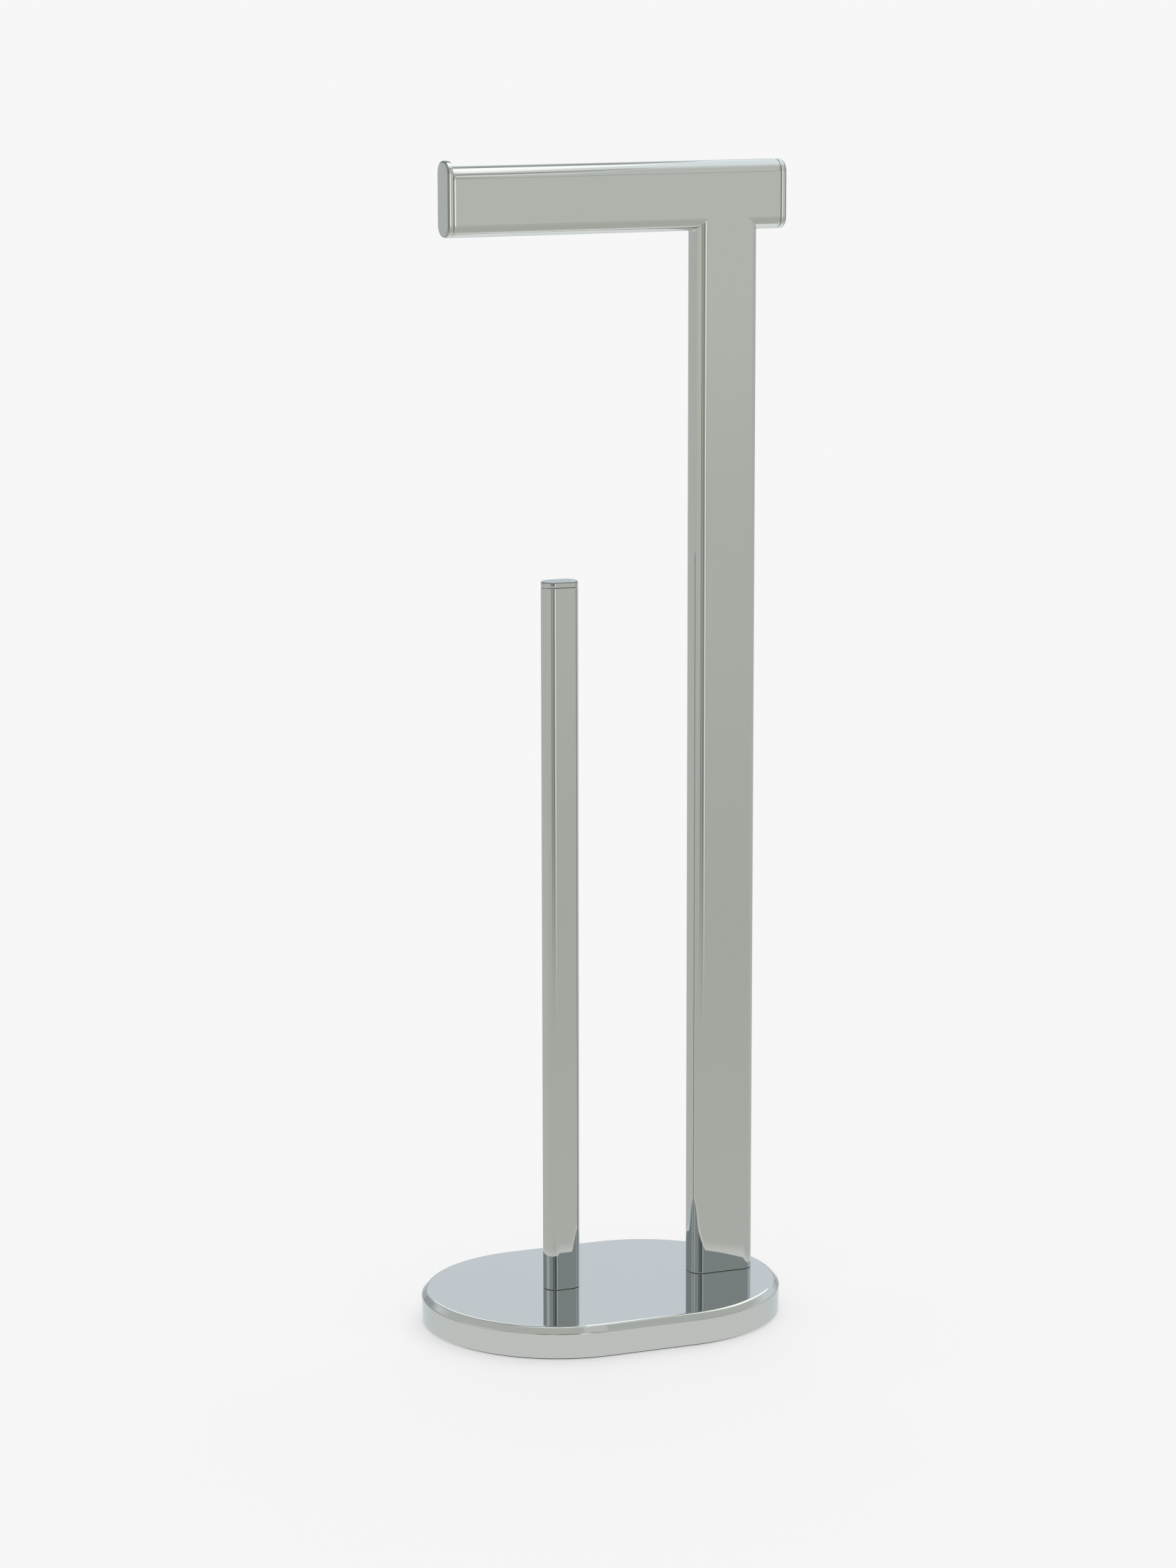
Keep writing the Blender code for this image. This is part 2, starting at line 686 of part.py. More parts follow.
def socket_screw(name, fixing):
    """Button-head screw, shank up, with its bearing face at height zero."""
    radius = fixing.thread / 2
    tip = fixing.thread * SCREW_TIP_SHARE
    edge = fixing.head_height * HEAD_EDGE_SHARE
    flat = fixing.head / 2 * HEAD_FLAT_SHARE
    profile = [(0, fixing.length), (radius - tip, fixing.length)]
    profile += [(radius, fixing.length - tip), (radius, 0), (fixing.head / 2, 0)]
    for step in range(DOME_STEPS + 1):
        turn = math.pi / 2 * step / DOME_STEPS
        out = flat + (fixing.head / 2 - flat) * math.cos(turn)
        down = edge + (fixing.head_height - edge) * math.sin(turn)
        profile.append((out, -down))
    profile.append((0, -fixing.head_height))
    obj = turned(name, profile, ZINC_PLATE)
    corner = fixing.socket / 2 / math.cos(math.pi / SOCKET_SIDES)
    depth = fixing.head_height * SOCKET_DEPTH_SHARE
    mesh = bpy.data.meshes.new(name + "_socket")
    body = bmesh.new()
    bmesh.ops.create_cone(
        body,
        cap_ends=True,
        segments=SOCKET_SIDES,
        radius1=corner,
        radius2=corner,
        depth=depth + OVERRUN,
        matrix=Matrix.Translation((0, 0, (depth - OVERRUN) / 2 - fixing.head_height)),
    )
    body.to_mesh(mesh)
    body.free()
    return obj, add_object(name + "_socket", mesh)


def washer_profile(outer, inner, thickness):
    """Ring section with a small chamfer outside."""
    chamfer = thickness * WASHER_CHAMFER_SHARE
    return [
        (inner, thickness),
        (outer - chamfer, thickness),
        (outer, thickness - chamfer),
        (outer, chamfer),
        (outer - chamfer, 0),
        (inner, 0),
    ]


def flat_washer(name, fixing):
    """Plain washer that bears on the ballast."""
    inner = fixing.thread / 2 + SCREW_CLEARANCE
    profile = washer_profile(fixing.washer / 2, inner, fixing.washer_thickness)
    return turned(name, profile, ZINC_PLATE, ring=True)


def lock_washer(name, fixing):
    """Spring washer, flat as when tightened, with its slanting slit."""
    inner = fixing.thread / 2 + SCREW_CLEARANCE
    outer = fixing.lock_washer / 2
    profile = washer_profile(outer, inner, fixing.lock_thickness)
    obj = turned(name, profile, ZINC_PLATE, ring=True)
    slit = fixing.lock_thickness * LOCK_SLIT_SHARE
    size = (slit, outer, fixing.lock_thickness + 2 * OVERRUN)
    centre = (0, (inner + outer) / 2, fixing.lock_thickness / 2)
    tool = blocks(name + "_slit", [(size, centre)])
    tool.rotation_euler.y = LOCK_SLIT_TURN
    return obj, tool


def fasten(owner, fixing, places):
    """Stack flat washer, lock washer and screw under the seat of each screw pocket."""
    washer_z = SEAT_Z - TOUCH_GAP - fixing.washer_thickness
    lock_z = washer_z - TOUCH_GAP - fixing.lock_thickness
    screw_z = lock_z - TOUCH_GAP
    for side, x in places.items():
        end = "_" + side if side else ""
        flat_washer(owner + "_flat_washer" + end, fixing).location = (x, 0, washer_z)
        washer, slit = lock_washer(owner + "_lock_washer" + end, fixing)
        screw, socket = socket_screw(owner + "_screw" + end, fixing)
        for obj, tool, z in ((washer, slit, lock_z), (screw, socket, screw_z)):
            obj.location = (x, 0, z)
            tool.location = (x, 0, z)
            combine(obj, tool, "DIFFERENCE")


def main():
    """Build every piece, from the base up."""
    base_cover()
    base_ballast()
    base_pad()
    upright_tube()
    upright_foot_block()
    fasten("upright", M6, UPRIGHT_SCREWS)
    arm_tube()
    arm_lip_cap()
    arm_end_cap()
    spare_post_tube()
    spare_post_cap()
    spare_post_foot_block()
    fasten("spare_post", M5, {"": POST_X})


main()
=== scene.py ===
"""Studio scene of a free-standing toilet roll holder in polished chrome.

A weighted, pill-shaped base carries a tall upright of flat-oval tube with a roll arm across its
top, and a shorter post for spare rolls. Lengths are in metres and angles in radians. +Z is up, X
runs along the arm, and the origin is the centre of the base's underside.
"""

import logging
import math
from dataclasses import dataclass
from enum import Enum
from typing import Any, Iterable, Sequence

import bmesh
import bpy
import numpy as np
from mathutils import Matrix, Vector


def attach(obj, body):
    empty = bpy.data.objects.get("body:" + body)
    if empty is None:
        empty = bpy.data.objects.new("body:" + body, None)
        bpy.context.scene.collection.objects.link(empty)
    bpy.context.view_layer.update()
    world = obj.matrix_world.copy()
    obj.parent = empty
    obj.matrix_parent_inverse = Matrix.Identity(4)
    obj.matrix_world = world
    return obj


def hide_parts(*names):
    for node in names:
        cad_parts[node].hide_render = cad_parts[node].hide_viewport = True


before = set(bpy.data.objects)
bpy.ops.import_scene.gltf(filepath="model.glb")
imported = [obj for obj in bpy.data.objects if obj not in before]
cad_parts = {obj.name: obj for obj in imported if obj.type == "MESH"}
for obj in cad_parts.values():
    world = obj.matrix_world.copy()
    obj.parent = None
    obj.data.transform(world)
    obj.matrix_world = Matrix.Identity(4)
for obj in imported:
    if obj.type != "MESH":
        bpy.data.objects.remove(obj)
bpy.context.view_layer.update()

logging.basicConfig(level=logging.INFO, format="%(message)s")
LOG = logging.getLogger("toilet_roll_holder")

MM = 0.001
WELD_DISTANCE = 1e-7
SHARP_ANGLE = math.radians(50)
FACE_WEIGHT = 80  # how far large faces lead the shading, in percent
EDGE_STEPS = 3  # points across a rounded edge of a swept section

# Sockets of a Mix node that blends two colours
SHARE, FROM, TO, BLEND = 0, 6, 7, 2
# Where most of a noise's values lie
NOISE_SPAN = {"From Min": 0.3, "From Max": 0.7}

Tree = bpy.types.NodeTree
Node = bpy.types.Node
Mesh = bpy.types.Mesh
Material = bpy.types.Material
Row = list[bmesh.types.BMVert]
Profile = Sequence[tuple[float, float]]
Colour = tuple[float, float, float, float]
Stop = tuple[float, float | tuple[float, float, float]]


def linear(code: str) -> Colour:
    """Turn an sRGB hex colour into Blender's linear one.

    Args:
        code: Colour such as "#C3C6C2".

    Returns:
        Linear red, green and blue, and an alpha of 1.
    """
    curve = []
    for place in (1, 3, 5):
        share = int(code[place : place + 2], 16) / 255
        curve.append(share / 12.92 if share <= 0.04045 else ((share + 0.055) / 1.055) ** 2.4)
    return (*curve, 1.0)


def add_node(tree: Tree, kind: str, inputs: dict[Any, Any] | None = None, **settings: Any) -> Node:
    """Add one node to a shader or geometry tree.

    Args:
        tree: The tree that gets the node.
        kind: Blender's name of the node's type.
        inputs: What goes into the node, by name or place: a value, a socket to link from, or a
            node to link from by its first output.
        settings: Properties of the node itself.

    Returns:
        The new node.
    """
    node = tree.nodes.new(kind)
    for name, value in settings.items():
        setattr(node, name, value)
    for key, value in (inputs or {}).items():
        source = value.outputs[0] if isinstance(value, Node) else value
        if isinstance(source, bpy.types.NodeSocket):
            tree.links.new(source, node.inputs[key])
        else:
            node.inputs[key].default_value = source
    return node


def empty_material(name: str) -> tuple[Material, Tree]:
    """Make a material without nodes.

    Args:
        name: The material's name.

    Returns:
        The material and its tree.
    """
    material = bpy.data.materials.new(name)
    material.use_nodes = True
    material.node_tree.nodes.clear()
    return material, material.node_tree


# Finishes


def mottle(
    tree: Tree, size: float, detail: float = 2.0, stretch: Sequence[float] = (1, 1, 1)
) -> Node:
    """Lay a cloudy pattern on object coordinates.

    Args:
        tree: The material's tree.
        size: Length of one patch.
        detail: Octaves of the noise.
        stretch: How much longer a patch is along each axis.

    Returns:
        The noise.
    """
    place = add_node(tree, "ShaderNodeTexCoord").outputs["Object"]
    scale = [1 / length for length in stretch]
    turned = add_node(tree, "ShaderNodeMapping", {"Vector": place, "Scale": scale})
    return add_node(
        tree, "ShaderNodeTexNoise", {"Vector": turned, "Scale": 1 / size, "Detail": detail}
    )


@dataclass(frozen=True)
class Finish:
    """What every finish has: two colours, a range of roughness and a relief."""

    name: str
    colour: str
    other_colour: str
    rough: tuple[float, float]
    relief: float
    relief_strength: float
    metallic: float = 0.0
    grazing_tint: str = "#FFFFFF"

    def patterns(self, tree: Tree) -> tuple[Node | None, Node, Node]:
        """Set out the finish's patterns.

        Args:
            tree: The material's tree.

        Returns:
            The share of the other colour, what the roughness follows and what the relief follows.
        """
        raise NotImplementedError

    def material(self) -> Material:
        """Build the material.

        Returns:
            The material.
        """
        material, tree = empty_material(self.name)
        share, haze, height = self.patterns(tree)
        colour = linear(self.colour)
        if share is not None:
            colours = {SHARE: share, FROM: colour, TO: linear(self.other_colour)}
            colour = add_node(tree, "ShaderNodeMix", colours, data_type="RGBA").outputs[BLEND]
        low, high = self.rough
        span = {"Value": haze, **NOISE_SPAN, "To Min": low, "To Max": high}
        bump = {"Height": height, "Distance": self.relief, "Strength": self.relief_strength}
        inputs = {
            "Base Color": colour,
            "Metallic": self.metallic,
            "Roughness": add_node(tree, "ShaderNodeMapRange", span),
            "Specular Tint": linear(self.grazing_tint),
            "Normal": add_node(tree, "ShaderNodeBump", bump),
        }
        shader = add_node(tree, "ShaderNodeBsdfPrincipled", inputs)
        add_node(tree, "ShaderNodeOutputMaterial", {"Surface": shader})
        return material


@dataclass(frozen=True)
class ChromePlate(Finish):
    """Bright decorative chrome, electroplated over buffed steel.

    To the eye it is a cool grey mirror that turns bluish at grazing angles. Buffing leaves waves
    too long and low to see in themselves, which make straight reflections run a little unsteady,
    and the haze of handling changes its gloss from place to place. Thin darker lines painted
    round a cap's face at set places are painted shade for the dark its rounded rim mirrors.
    """

    colour: str = "#C3C6C2"
    # The darker colour, used only for the painted shade lines
    other_colour: str = "#8F918E"
    rough: tuple[float, float] = (0.018, 0.040)
    relief: float = 0.03 * MM
    relief_strength: float = 1.0
    metallic: float = 1.0
    grazing_tint: str = "#EDF4FA"
    wave_length: float = 22 * MM
    haze_patch: float = 35 * MM
    # Painted shade: thin darker lines round a cap's face, and how much of each is fully dark
    painted_shade_lines: tuple[tuple[str, float, float], ...] = ()  # axis, middle and half width
    shade_line_core: float = 0.8  # share of an edge's width that is fully dark

    def patterns(self, tree: Tree) -> tuple[Node | None, Node, Node]:
        """Set out the painted shade lines, the haze and the buffing waves.

        Args:
            tree: The material's tree.

        Returns:
            The three patterns.
        """
        share = None
        if self.painted_shade_lines:
            place = add_node(tree, "ShaderNodeTexCoord").outputs["Object"]
            parts = add_node(tree, "ShaderNodeSeparateXYZ", {0: place}).outputs
            share = 0.0
        # Each line blends in the darker colour, as painted shade round a cap's face
        for axis, middle, half in self.painted_shade_lines:
            off = {0: parts[axis], 1: middle}
            off = {0: add_node(tree, "ShaderNodeMath", off, operation="SUBTRACT")}
            away = add_node(tree, "ShaderNodeMath", off, operation="ABSOLUTE")
            ends = {"Value": away, "From Min": half, "From Max": half * self.shade_line_core}
            both = {0: share, 1: add_node(tree, "ShaderNodeMapRange", ends)}
            share = add_node(tree, "ShaderNodeMath", both, operation="MAXIMUM")
        haze = mottle(tree, self.haze_patch)
        return share, haze, mottle(tree, self.wave_length, detail=1.0, stretch=(1, 1, 3))


@dataclass(frozen=True)
class PaintedIron(Finish):
    """Grey iron, sand cast and dipped in matt black paint.

    The eye sees an even black with the grain of the sand mould under it, greyer where the paint is
    thin on the high grains.
    """

    name: str = "painted_cast_iron"
    colour: str = "#1E1E20"
    other_colour: str = "#343436"
    rough: tuple[float, float] = (0.55, 0.8)
    relief: float = 0.12 * MM
    relief_strength: float = 0.7
    sand_grain: float = 0.9 * MM

    def patterns(self, tree: Tree) -> tuple[Node, Node, Node]:
        """Set out the sand's grain."""
        grain = mottle(tree, self.sand_grain, detail=3.0)
        return add_node(tree, "ShaderNodeMapRange", {"Value": grain, **NOISE_SPAN}), grain, grain


@dataclass(frozen=True)
class ClosedCellFoam(Finish):
    """Closed-cell EVA foam, split from a block and die cut.

    It looks a soft, dry black. The split face shows the skins of its cells, drawn here 0.5 mm wide
    where the real ones are about 0.2 mm.
    """

    name: str = "closed_cell_foam"
    colour: str = "#222224"
    other_colour: str = "#303032"
    rough: tuple[float, float] = (0.82, 0.95)
    relief: float = 0.08 * MM
    relief_strength: float = 0.6
    cell: float = 0.5 * MM
    dull_patch: float = 4 * MM

    def patterns(self, tree: Tree) -> tuple[Node, Node, Node]:
        """Set out the cells and the duller patches.

        Args:
            tree: The material's tree.

        Returns:
            The three patterns.
        """
        place = add_node(tree, "ShaderNodeTexCoord").outputs["Object"]
        cells = add_node(tree, "ShaderNodeTexVoronoi", {"Vector": place, "Scale": 1 / self.cell})
        return cells, mottle(tree, self.dull_patch), cells


@dataclass(frozen=True)
class FilmedMetal(Finish):
    """Metal with fine marks under a thin film that tints it in patches."""

    relief: float = 0.02 * MM
    relief_strength: float = 0.5
    metallic: float = 1.0
    film_patch: float = 9 * MM
    mark: float = 0.35 * MM
    mark_detail: float = 2.0
    mark_stretch: tuple[float, float, float] = (1, 1, 1)

    def patterns(self, tree: Tree) -> tuple[Node, Node, Node]:
        """Set out the film on the metal and the marks in it.

        Args:
            tree: The material's tree.

        Returns:
            The three patterns.
        """
        film = {"Value": mottle(tree, self.film_patch), **NOISE_SPAN}
        marks = mottle(tree, self.mark, self.mark_detail, self.mark_stretch)
        return add_node(tree, "ShaderNodeMapRange", film), marks, marks


@dataclass(frozen=True)
class MachinedSteel(FilmedMetal):
    """Mild steel bar, milled and left bare under a film of oil.

    The eye sees a warm grey with fine feed marks along one axis, which pull its highlights across
    them.
    """

    name: str = "machined_steel"
    colour: str = "#AEABA6"
    other_colour: str = "#8F8C87"
    rough: tuple[float, float] = (0.30, 0.45)
    mark_stretch: tuple[float, float, float] = (1, 30, 1)


@dataclass(frozen=True)
class ZincPlate(FilmedMetal):
    """Barrel-plated zinc on screws and washers, clear passivated.

    It reads as a light, slightly blue grey, duller than chrome, with small dings from the barrel
    and a faint straw tint where the passivation is thick.
    """

    name: str = "zinc_plate"
    colour: str = "#C4C8CE"
    other_colour: str = "#CBC8BC"
    rough: tuple[float, float] = (0.24, 0.38)
    film_patch: float = 5 * MM
    mark: float = 0.8 * MM
    mark_detail: float = 1.0


class Slot(Enum):
    """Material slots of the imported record."""

    CHROME = "polished_chrome"
    FOAM = "foam_pad"
    ZINC = "zinc_plate"


# Meshes from rings of points


@dataclass(frozen=True)
class FlatOval:
    """Outline with two straight sides and rounded ends, as a flattened tube has.

    The ends are half-rounds, unless a smaller corner leaves a narrow flat between its two rounds.
    """

    width: float
    depth: float
    steps: int
    corner: float = 0.0

    @property
    def radius(self) -> float:
        """Radius of the corners."""
        return self.corner or self.depth / 2

    @property
    def reach(self) -> float:
        """Half the length of a straight side."""
        return self.width / 2 - self.radius

    @property
    def flat(self) -> float:
        """Half the length of the flat in the middle of an end."""
        return self.depth / 2 - self.radius

    def end(self, inset: float = 0.0) -> tuple[np.ndarray, np.ndarray]:
        """Draw one rounded end.

        Args:
            inset: How far inside the outline it runs.

        Returns:
            How far across the depth its points lie, from front to back, and how far out.
        """
        turns = np.linspace(0, math.pi / 2, self.steps // 2 + 1)
        back = 1 if self.flat < WELD_DISTANCE else 0
        radius = self.radius - inset
        across = self.flat + radius * np.cos(turns[::-1])
        out = radius * np.sin(turns)
        return np.append(-across[::-1], across[back:]), np.append(out, out[::-1][back:])

    def ring(self, inset: float = 0.0, lip: float = 0.0) -> np.ndarray:
        """Draw the outline anticlockwise.

        Args:
            inset: How far inside the outline the ring runs.
            lip: How far the end on the positive side of the width is carried outwards.

        Returns:
            Points with their place along the width and the depth.
        """
        across, out = self.end(inset)
        right = np.column_stack((self.reach + lip + out, across))
        left = np.column_stack((-self.reach - out, -across))
        return np.vstack((right, left))


def circle(radius: float | np.ndarray, sides: int, centre_x: float = 0.0) -> np.ndarray:
    """Draw a circle anticlockwise, or a shape round a centre.

    Args:
        radius: Its radius, or one for each side.
        sides: How many points it has.
        centre_x: Its centre along the first axis.

    Returns:
        The points.
    """
    turns = np.arange(sides) * math.tau / sides
    return np.column_stack((centre_x + radius * np.cos(turns), radius * np.sin(turns)))


def rounded(corners: Sequence[tuple[float, float, float]], segments: int = 6) -> Profile:
    """Round the corners of an open profile.

    Args:
        corners: Two coordinates and the rounding radius of each corner.
        segments: Faces across each rounding.

    Returns:
        The points of the rounded profile.
    """
    points: list[tuple[float, float]] = []
    for index, (x, y, radius) in enumerate(corners):
        here = np.array((x, y))
        if radius <= 0 or index in (0, len(corners) - 1):
            points.append((x, y))
            continue
        back = np.array(corners[index - 1][:2]) - here
        ahead = np.array(corners[index + 1][:2]) - here
        back /= np.linalg.norm(back)
        ahead /= np.linalg.norm(ahead)
        half = math.acos(float(np.clip(back @ ahead, -1, 1))) / 2
        tangent = radius / math.tan(half)
        middle = here + (back + ahead) / np.linalg.norm(back + ahead) * radius / math.sin(half)
        start = here + back * tangent - middle
        end = here + ahead * tangent - middle
        sweep = math.pi - 2 * half
        for step in range(segments + 1):
            share = step / segments
            weight_start = math.sin((1 - share) * sweep) / math.sin(sweep)
            weight_end = math.sin(share * sweep) / math.sin(sweep)
            point = middle + start * weight_start + end * weight_end
            points.append((float(point[0]), float(point[1])))
    return points


def settle(body: bmesh.types.BMesh) -> None:
    """Turn a closed body's faces outwards, smooth them and mark the sharp edges."""
    bmesh.ops.recalc_face_normals(body, faces=body.faces)
    for face in body.faces:
        face.smooth = True
    for edge in body.edges:
        edge.smooth = edge.calc_face_angle(0) < SHARP_ANGLE


class Skin:
    """Points and faces of one closed body, gathered ring by ring."""

    def __init__(self) -> None:
        """Start with nothing."""
        self.body = bmesh.new()

    def points(self, places: Iterable[Sequence[float]]) -> Row:
        """Add points and return them in their order."""
        return [self.body.verts.new(place) for place in places]

    def ring(self, outline: np.ndarray, height: float) -> Row:
        """Add the points of a level outline."""
        return self.points([(*point, height) for point in outline])

    def levels(self, oval: FlatOval, profile: Profile, lip: float = 0.0) -> list[Row]:
        """Add rings of one flat oval, each at an inset and a height."""
        return [self.ring(oval.ring(inset, lip), height) for inset, height in profile]

    def stack(self, rows: Sequence[Row], closed: bool = True) -> None:
        """Join rows of points with faces.

        Args:
            rows: The rows, each with as many points.
            closed: Whether they are rings.
        """
        count = len(rows[0])
        for first, second in zip(rows, rows[1:]):
            for index in range(count if closed else count - 1):
                after = (index + 1) % count
                corners = [first[index], first[after], second[after], second[index]]
                self.body.faces.new(list(dict.fromkeys(corners)))

    def lid(self, *rings: Row) -> None:
        """Fill a flat ring, open where other rings lie inside it."""
        if len(rings) == 1:
            self.body.faces.new(rings[0])
            return
        edges = []
        for ring in rings:
            for start, end in zip(ring, [*ring[1:], ring[0]]):
                known = self.body.edges.get((start, end))
                edges.append(known or self.body.edges.new((start, end)))
        bmesh.ops.triangle_fill(self.body, edges=edges, use_beauty=True)

    def mesh(self, name: str) -> Mesh:
        """Close the body up, with its faces outwards.

        Args:
            name: The mesh's name.

        Returns:
            The mesh, with its sharp edges marked.
        """
        bmesh.ops.remove_doubles(self.body, verts=self.body.verts, dist=WELD_DISTANCE)
        settle(self.body)
        open_edges = sum(1 for edge in self.body.edges if len(edge.link_faces) != 2)
        if open_edges:
            LOG.warning("%s has %d open edges", name, open_edges)
        mesh = bpy.data.meshes.new(name)
        self.body.to_mesh(mesh)
        self.body.free()
        return mesh


def bake(obj: bpy.types.Object) -> Mesh:
    """Turn an object and its modifiers into a plain mesh.

    Args:
        obj: The object, which is removed.

    Returns:
        The mesh.
    """
    graph = bpy.context.evaluated_depsgraph_get()
    mesh = bpy.data.meshes.new_from_object(obj.evaluated_get(graph), depsgraph=graph)
    bpy.data.objects.remove(obj, do_unlink=True)
    return mesh


def show(name: str, data: Any) -> bpy.types.Object:
    """Put a mesh, lamp or camera into the scene.

    Args:
        name: The object's name.
        data: What it holds.

    Returns:
        The object, at the origin.
    """
    obj = bpy.data.objects.new(name, data)
    bpy.context.scene.collection.objects.link(obj)
    return obj


def piece(
    name: str,
    mesh: Mesh,
    material: Material,
    stands_for: Sequence[str],
    place: Matrix | None = None,
) -> bpy.types.Object:
    """Put a finished mesh on the holder in place of CAD nodes.

    Args:
        name: The piece's name.
        mesh: Its mesh.
        material: Its finish.
        stands_for: The CAD nodes that it replaces.
        place: Where the mesh goes, if it isn't there already.

    Returns:
        The piece's object, at the origin.
    """
    mesh.materials.clear()
    mesh.materials.append(material)
    draft = show(name, mesh)
    weighted = draft.modifiers.new("even_shading", "WEIGHTED_NORMAL")
    weighted.keep_sharp = True
    weighted.weight = FACE_WEIGHT
    finished = bake(draft)
    finished.name = name
    if place is not None:
        finished.transform(place)
    obj = show(name, finished)
    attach(obj, "root")
    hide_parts(*stands_for)
    LOG.info("%s: %d faces", name, len(finished.polygons))
    return obj


def dress(names: Iterable[str], material: Material) -> None:
    """Give CAD nodes that stay as they are their real finish.

    Args:
        names: The nodes.
        material: The finish.
    """
    for name in names:
        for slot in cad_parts[name].material_slots:
            slot.material = material
        LOG.info("%s: kept, in %s", name, material.name)


# Geometry node trees


class Growth:
    """A geometry node tree with named inputs, run once on a mesh."""

    def __init__(self, name: str, finish: Material, **sizes: float | int) -> None:
        """Start a tree.

        Args:
            name: The tree's name.
            finish: The material that its geometry ends in.
            sizes: Its other inputs, by name.
        """
        self.tree = bpy.data.node_groups.new(name, "GeometryNodeTree")
        self.values: dict[str, Any] = {}
        sockets = self.tree.interface
        for way in ("INPUT", "OUTPUT"):
            sockets.new_socket("geometry", in_out=way, socket_type="NodeSocketGeometry")
        kinds = {float: "NodeSocketFloat", int: "NodeSocketInt", Material: "NodeSocketMaterial"}
        for title, value in {**sizes, "finish": finish}.items():
            kind = kinds[type(value)]
            socket = sockets.new_socket(title, in_out="INPUT", socket_type=kind)
            self.values[socket.identifier] = value
        self.given = self.tree.nodes.new("NodeGroupInput").outputs

    def run(self, shape: Node, mesh: Mesh, keep: bool = False) -> Mesh:
        """End the tree in real geometry with its finish, and run it on a mesh.

        Args:
            shape: What the tree makes.
            mesh: What it takes in.
            keep: Whether that mesh stays, joined with the shape.

        Returns:
            The result as a plain mesh.
        """
        if keep:
            both = add_node(self.tree, "GeometryNodeJoinGeometry")
            for part in (self.given["geometry"], shape.outputs[0]):
                self.tree.links.new(part, both.inputs[0])
            shape = both
        real = add_node(self.tree, "GeometryNodeRealizeInstances", {"Geometry": shape})
        dressing = {"Geometry": real, "Material": self.given["finish"]}
        dressed = add_node(self.tree, "GeometryNodeSetMaterial", dressing)
        add_node(self.tree, "NodeGroupOutput", {0: dressed})
        obj = show(self.tree.name, mesh)
        modifier = obj.modifiers.new("grow", "NODES")
        modifier.node_group = self.tree
        for identifier, value in self.values.items():
            modifier[identifier] = value
        return bake(obj)


def swept_ring(growth: Growth, path: Node, caps: bool = False) -> Node:
    """Sweep an upright rectangle with rounded corners along a level path.

    Args:
        growth: The tree, with inputs thick and tall for the rectangle and edge for its corners.
        path: The curve to follow.
        caps: Whether the path's ends are closed.

    Returns:
        The swept mesh.
    """
    tree, given = growth.tree, growth.given
    sides = {"Width": given["thick"], "Height": given["tall"]}
    section = add_node(tree, "GeometryNodeCurvePrimitiveQuadrilateral", sides)
    corners = {"Curve": section, "Radius": given["edge"], "Count": EDGE_STEPS}
    corners["Limit Radius"] = True
    soft = add_node(tree, "GeometryNodeFilletCurve", corners, mode="POLY")
    level = add_node(tree, "GeometryNodeSetCurveNormal", {"Curve": path}, mode="Z_UP")
    sweep = {"Curve": level, "Profile Curve": soft, "Fill Caps": caps}
    swept = {"Geometry": add_node(tree, "GeometryNodeCurveToMesh", sweep)}
    joined = add_node(tree, "GeometryNodeMergeByDistance", {**swept, "Distance": WELD_DISTANCE})
    return add_node(tree, "GeometryNodeSetShadeSmooth", {"Geometry": joined})


def mark_sharp(mesh: Mesh) -> Mesh:
    """Close a mesh's doubles, turn its faces outwards and mark its sharp edges.

    Args:
        mesh: The mesh to clean.

    Returns:
        The same mesh.
    """
    body = bmesh.new()
    body.from_mesh(mesh)
    bmesh.ops.remove_doubles(body, verts=body.verts, dist=WELD_DISTANCE)
    bmesh.ops.dissolve_degenerate(body, edges=body.edges, dist=WELD_DISTANCE)
    settle(body)
    body.to_mesh(mesh)
    body.free()
    return mesh


# Sub-assemblies

TUBE = FlatOval(35 * MM, 16 * MM, 64, 6.5 * MM)
POST_TUBE = FlatOval(19.5 * MM, 12.5 * MM, 48)
TUBE_WALL = 1.2 * MM
FOOT_Z = 17.05 * MM
ARM_Z = 582.5 * MM
UPRIGHT_X = 67.1 * MM
POST_X = -22.4 * MM
SCREW_X = {"left": 58.6 * MM, "right": 75.6 * MM}


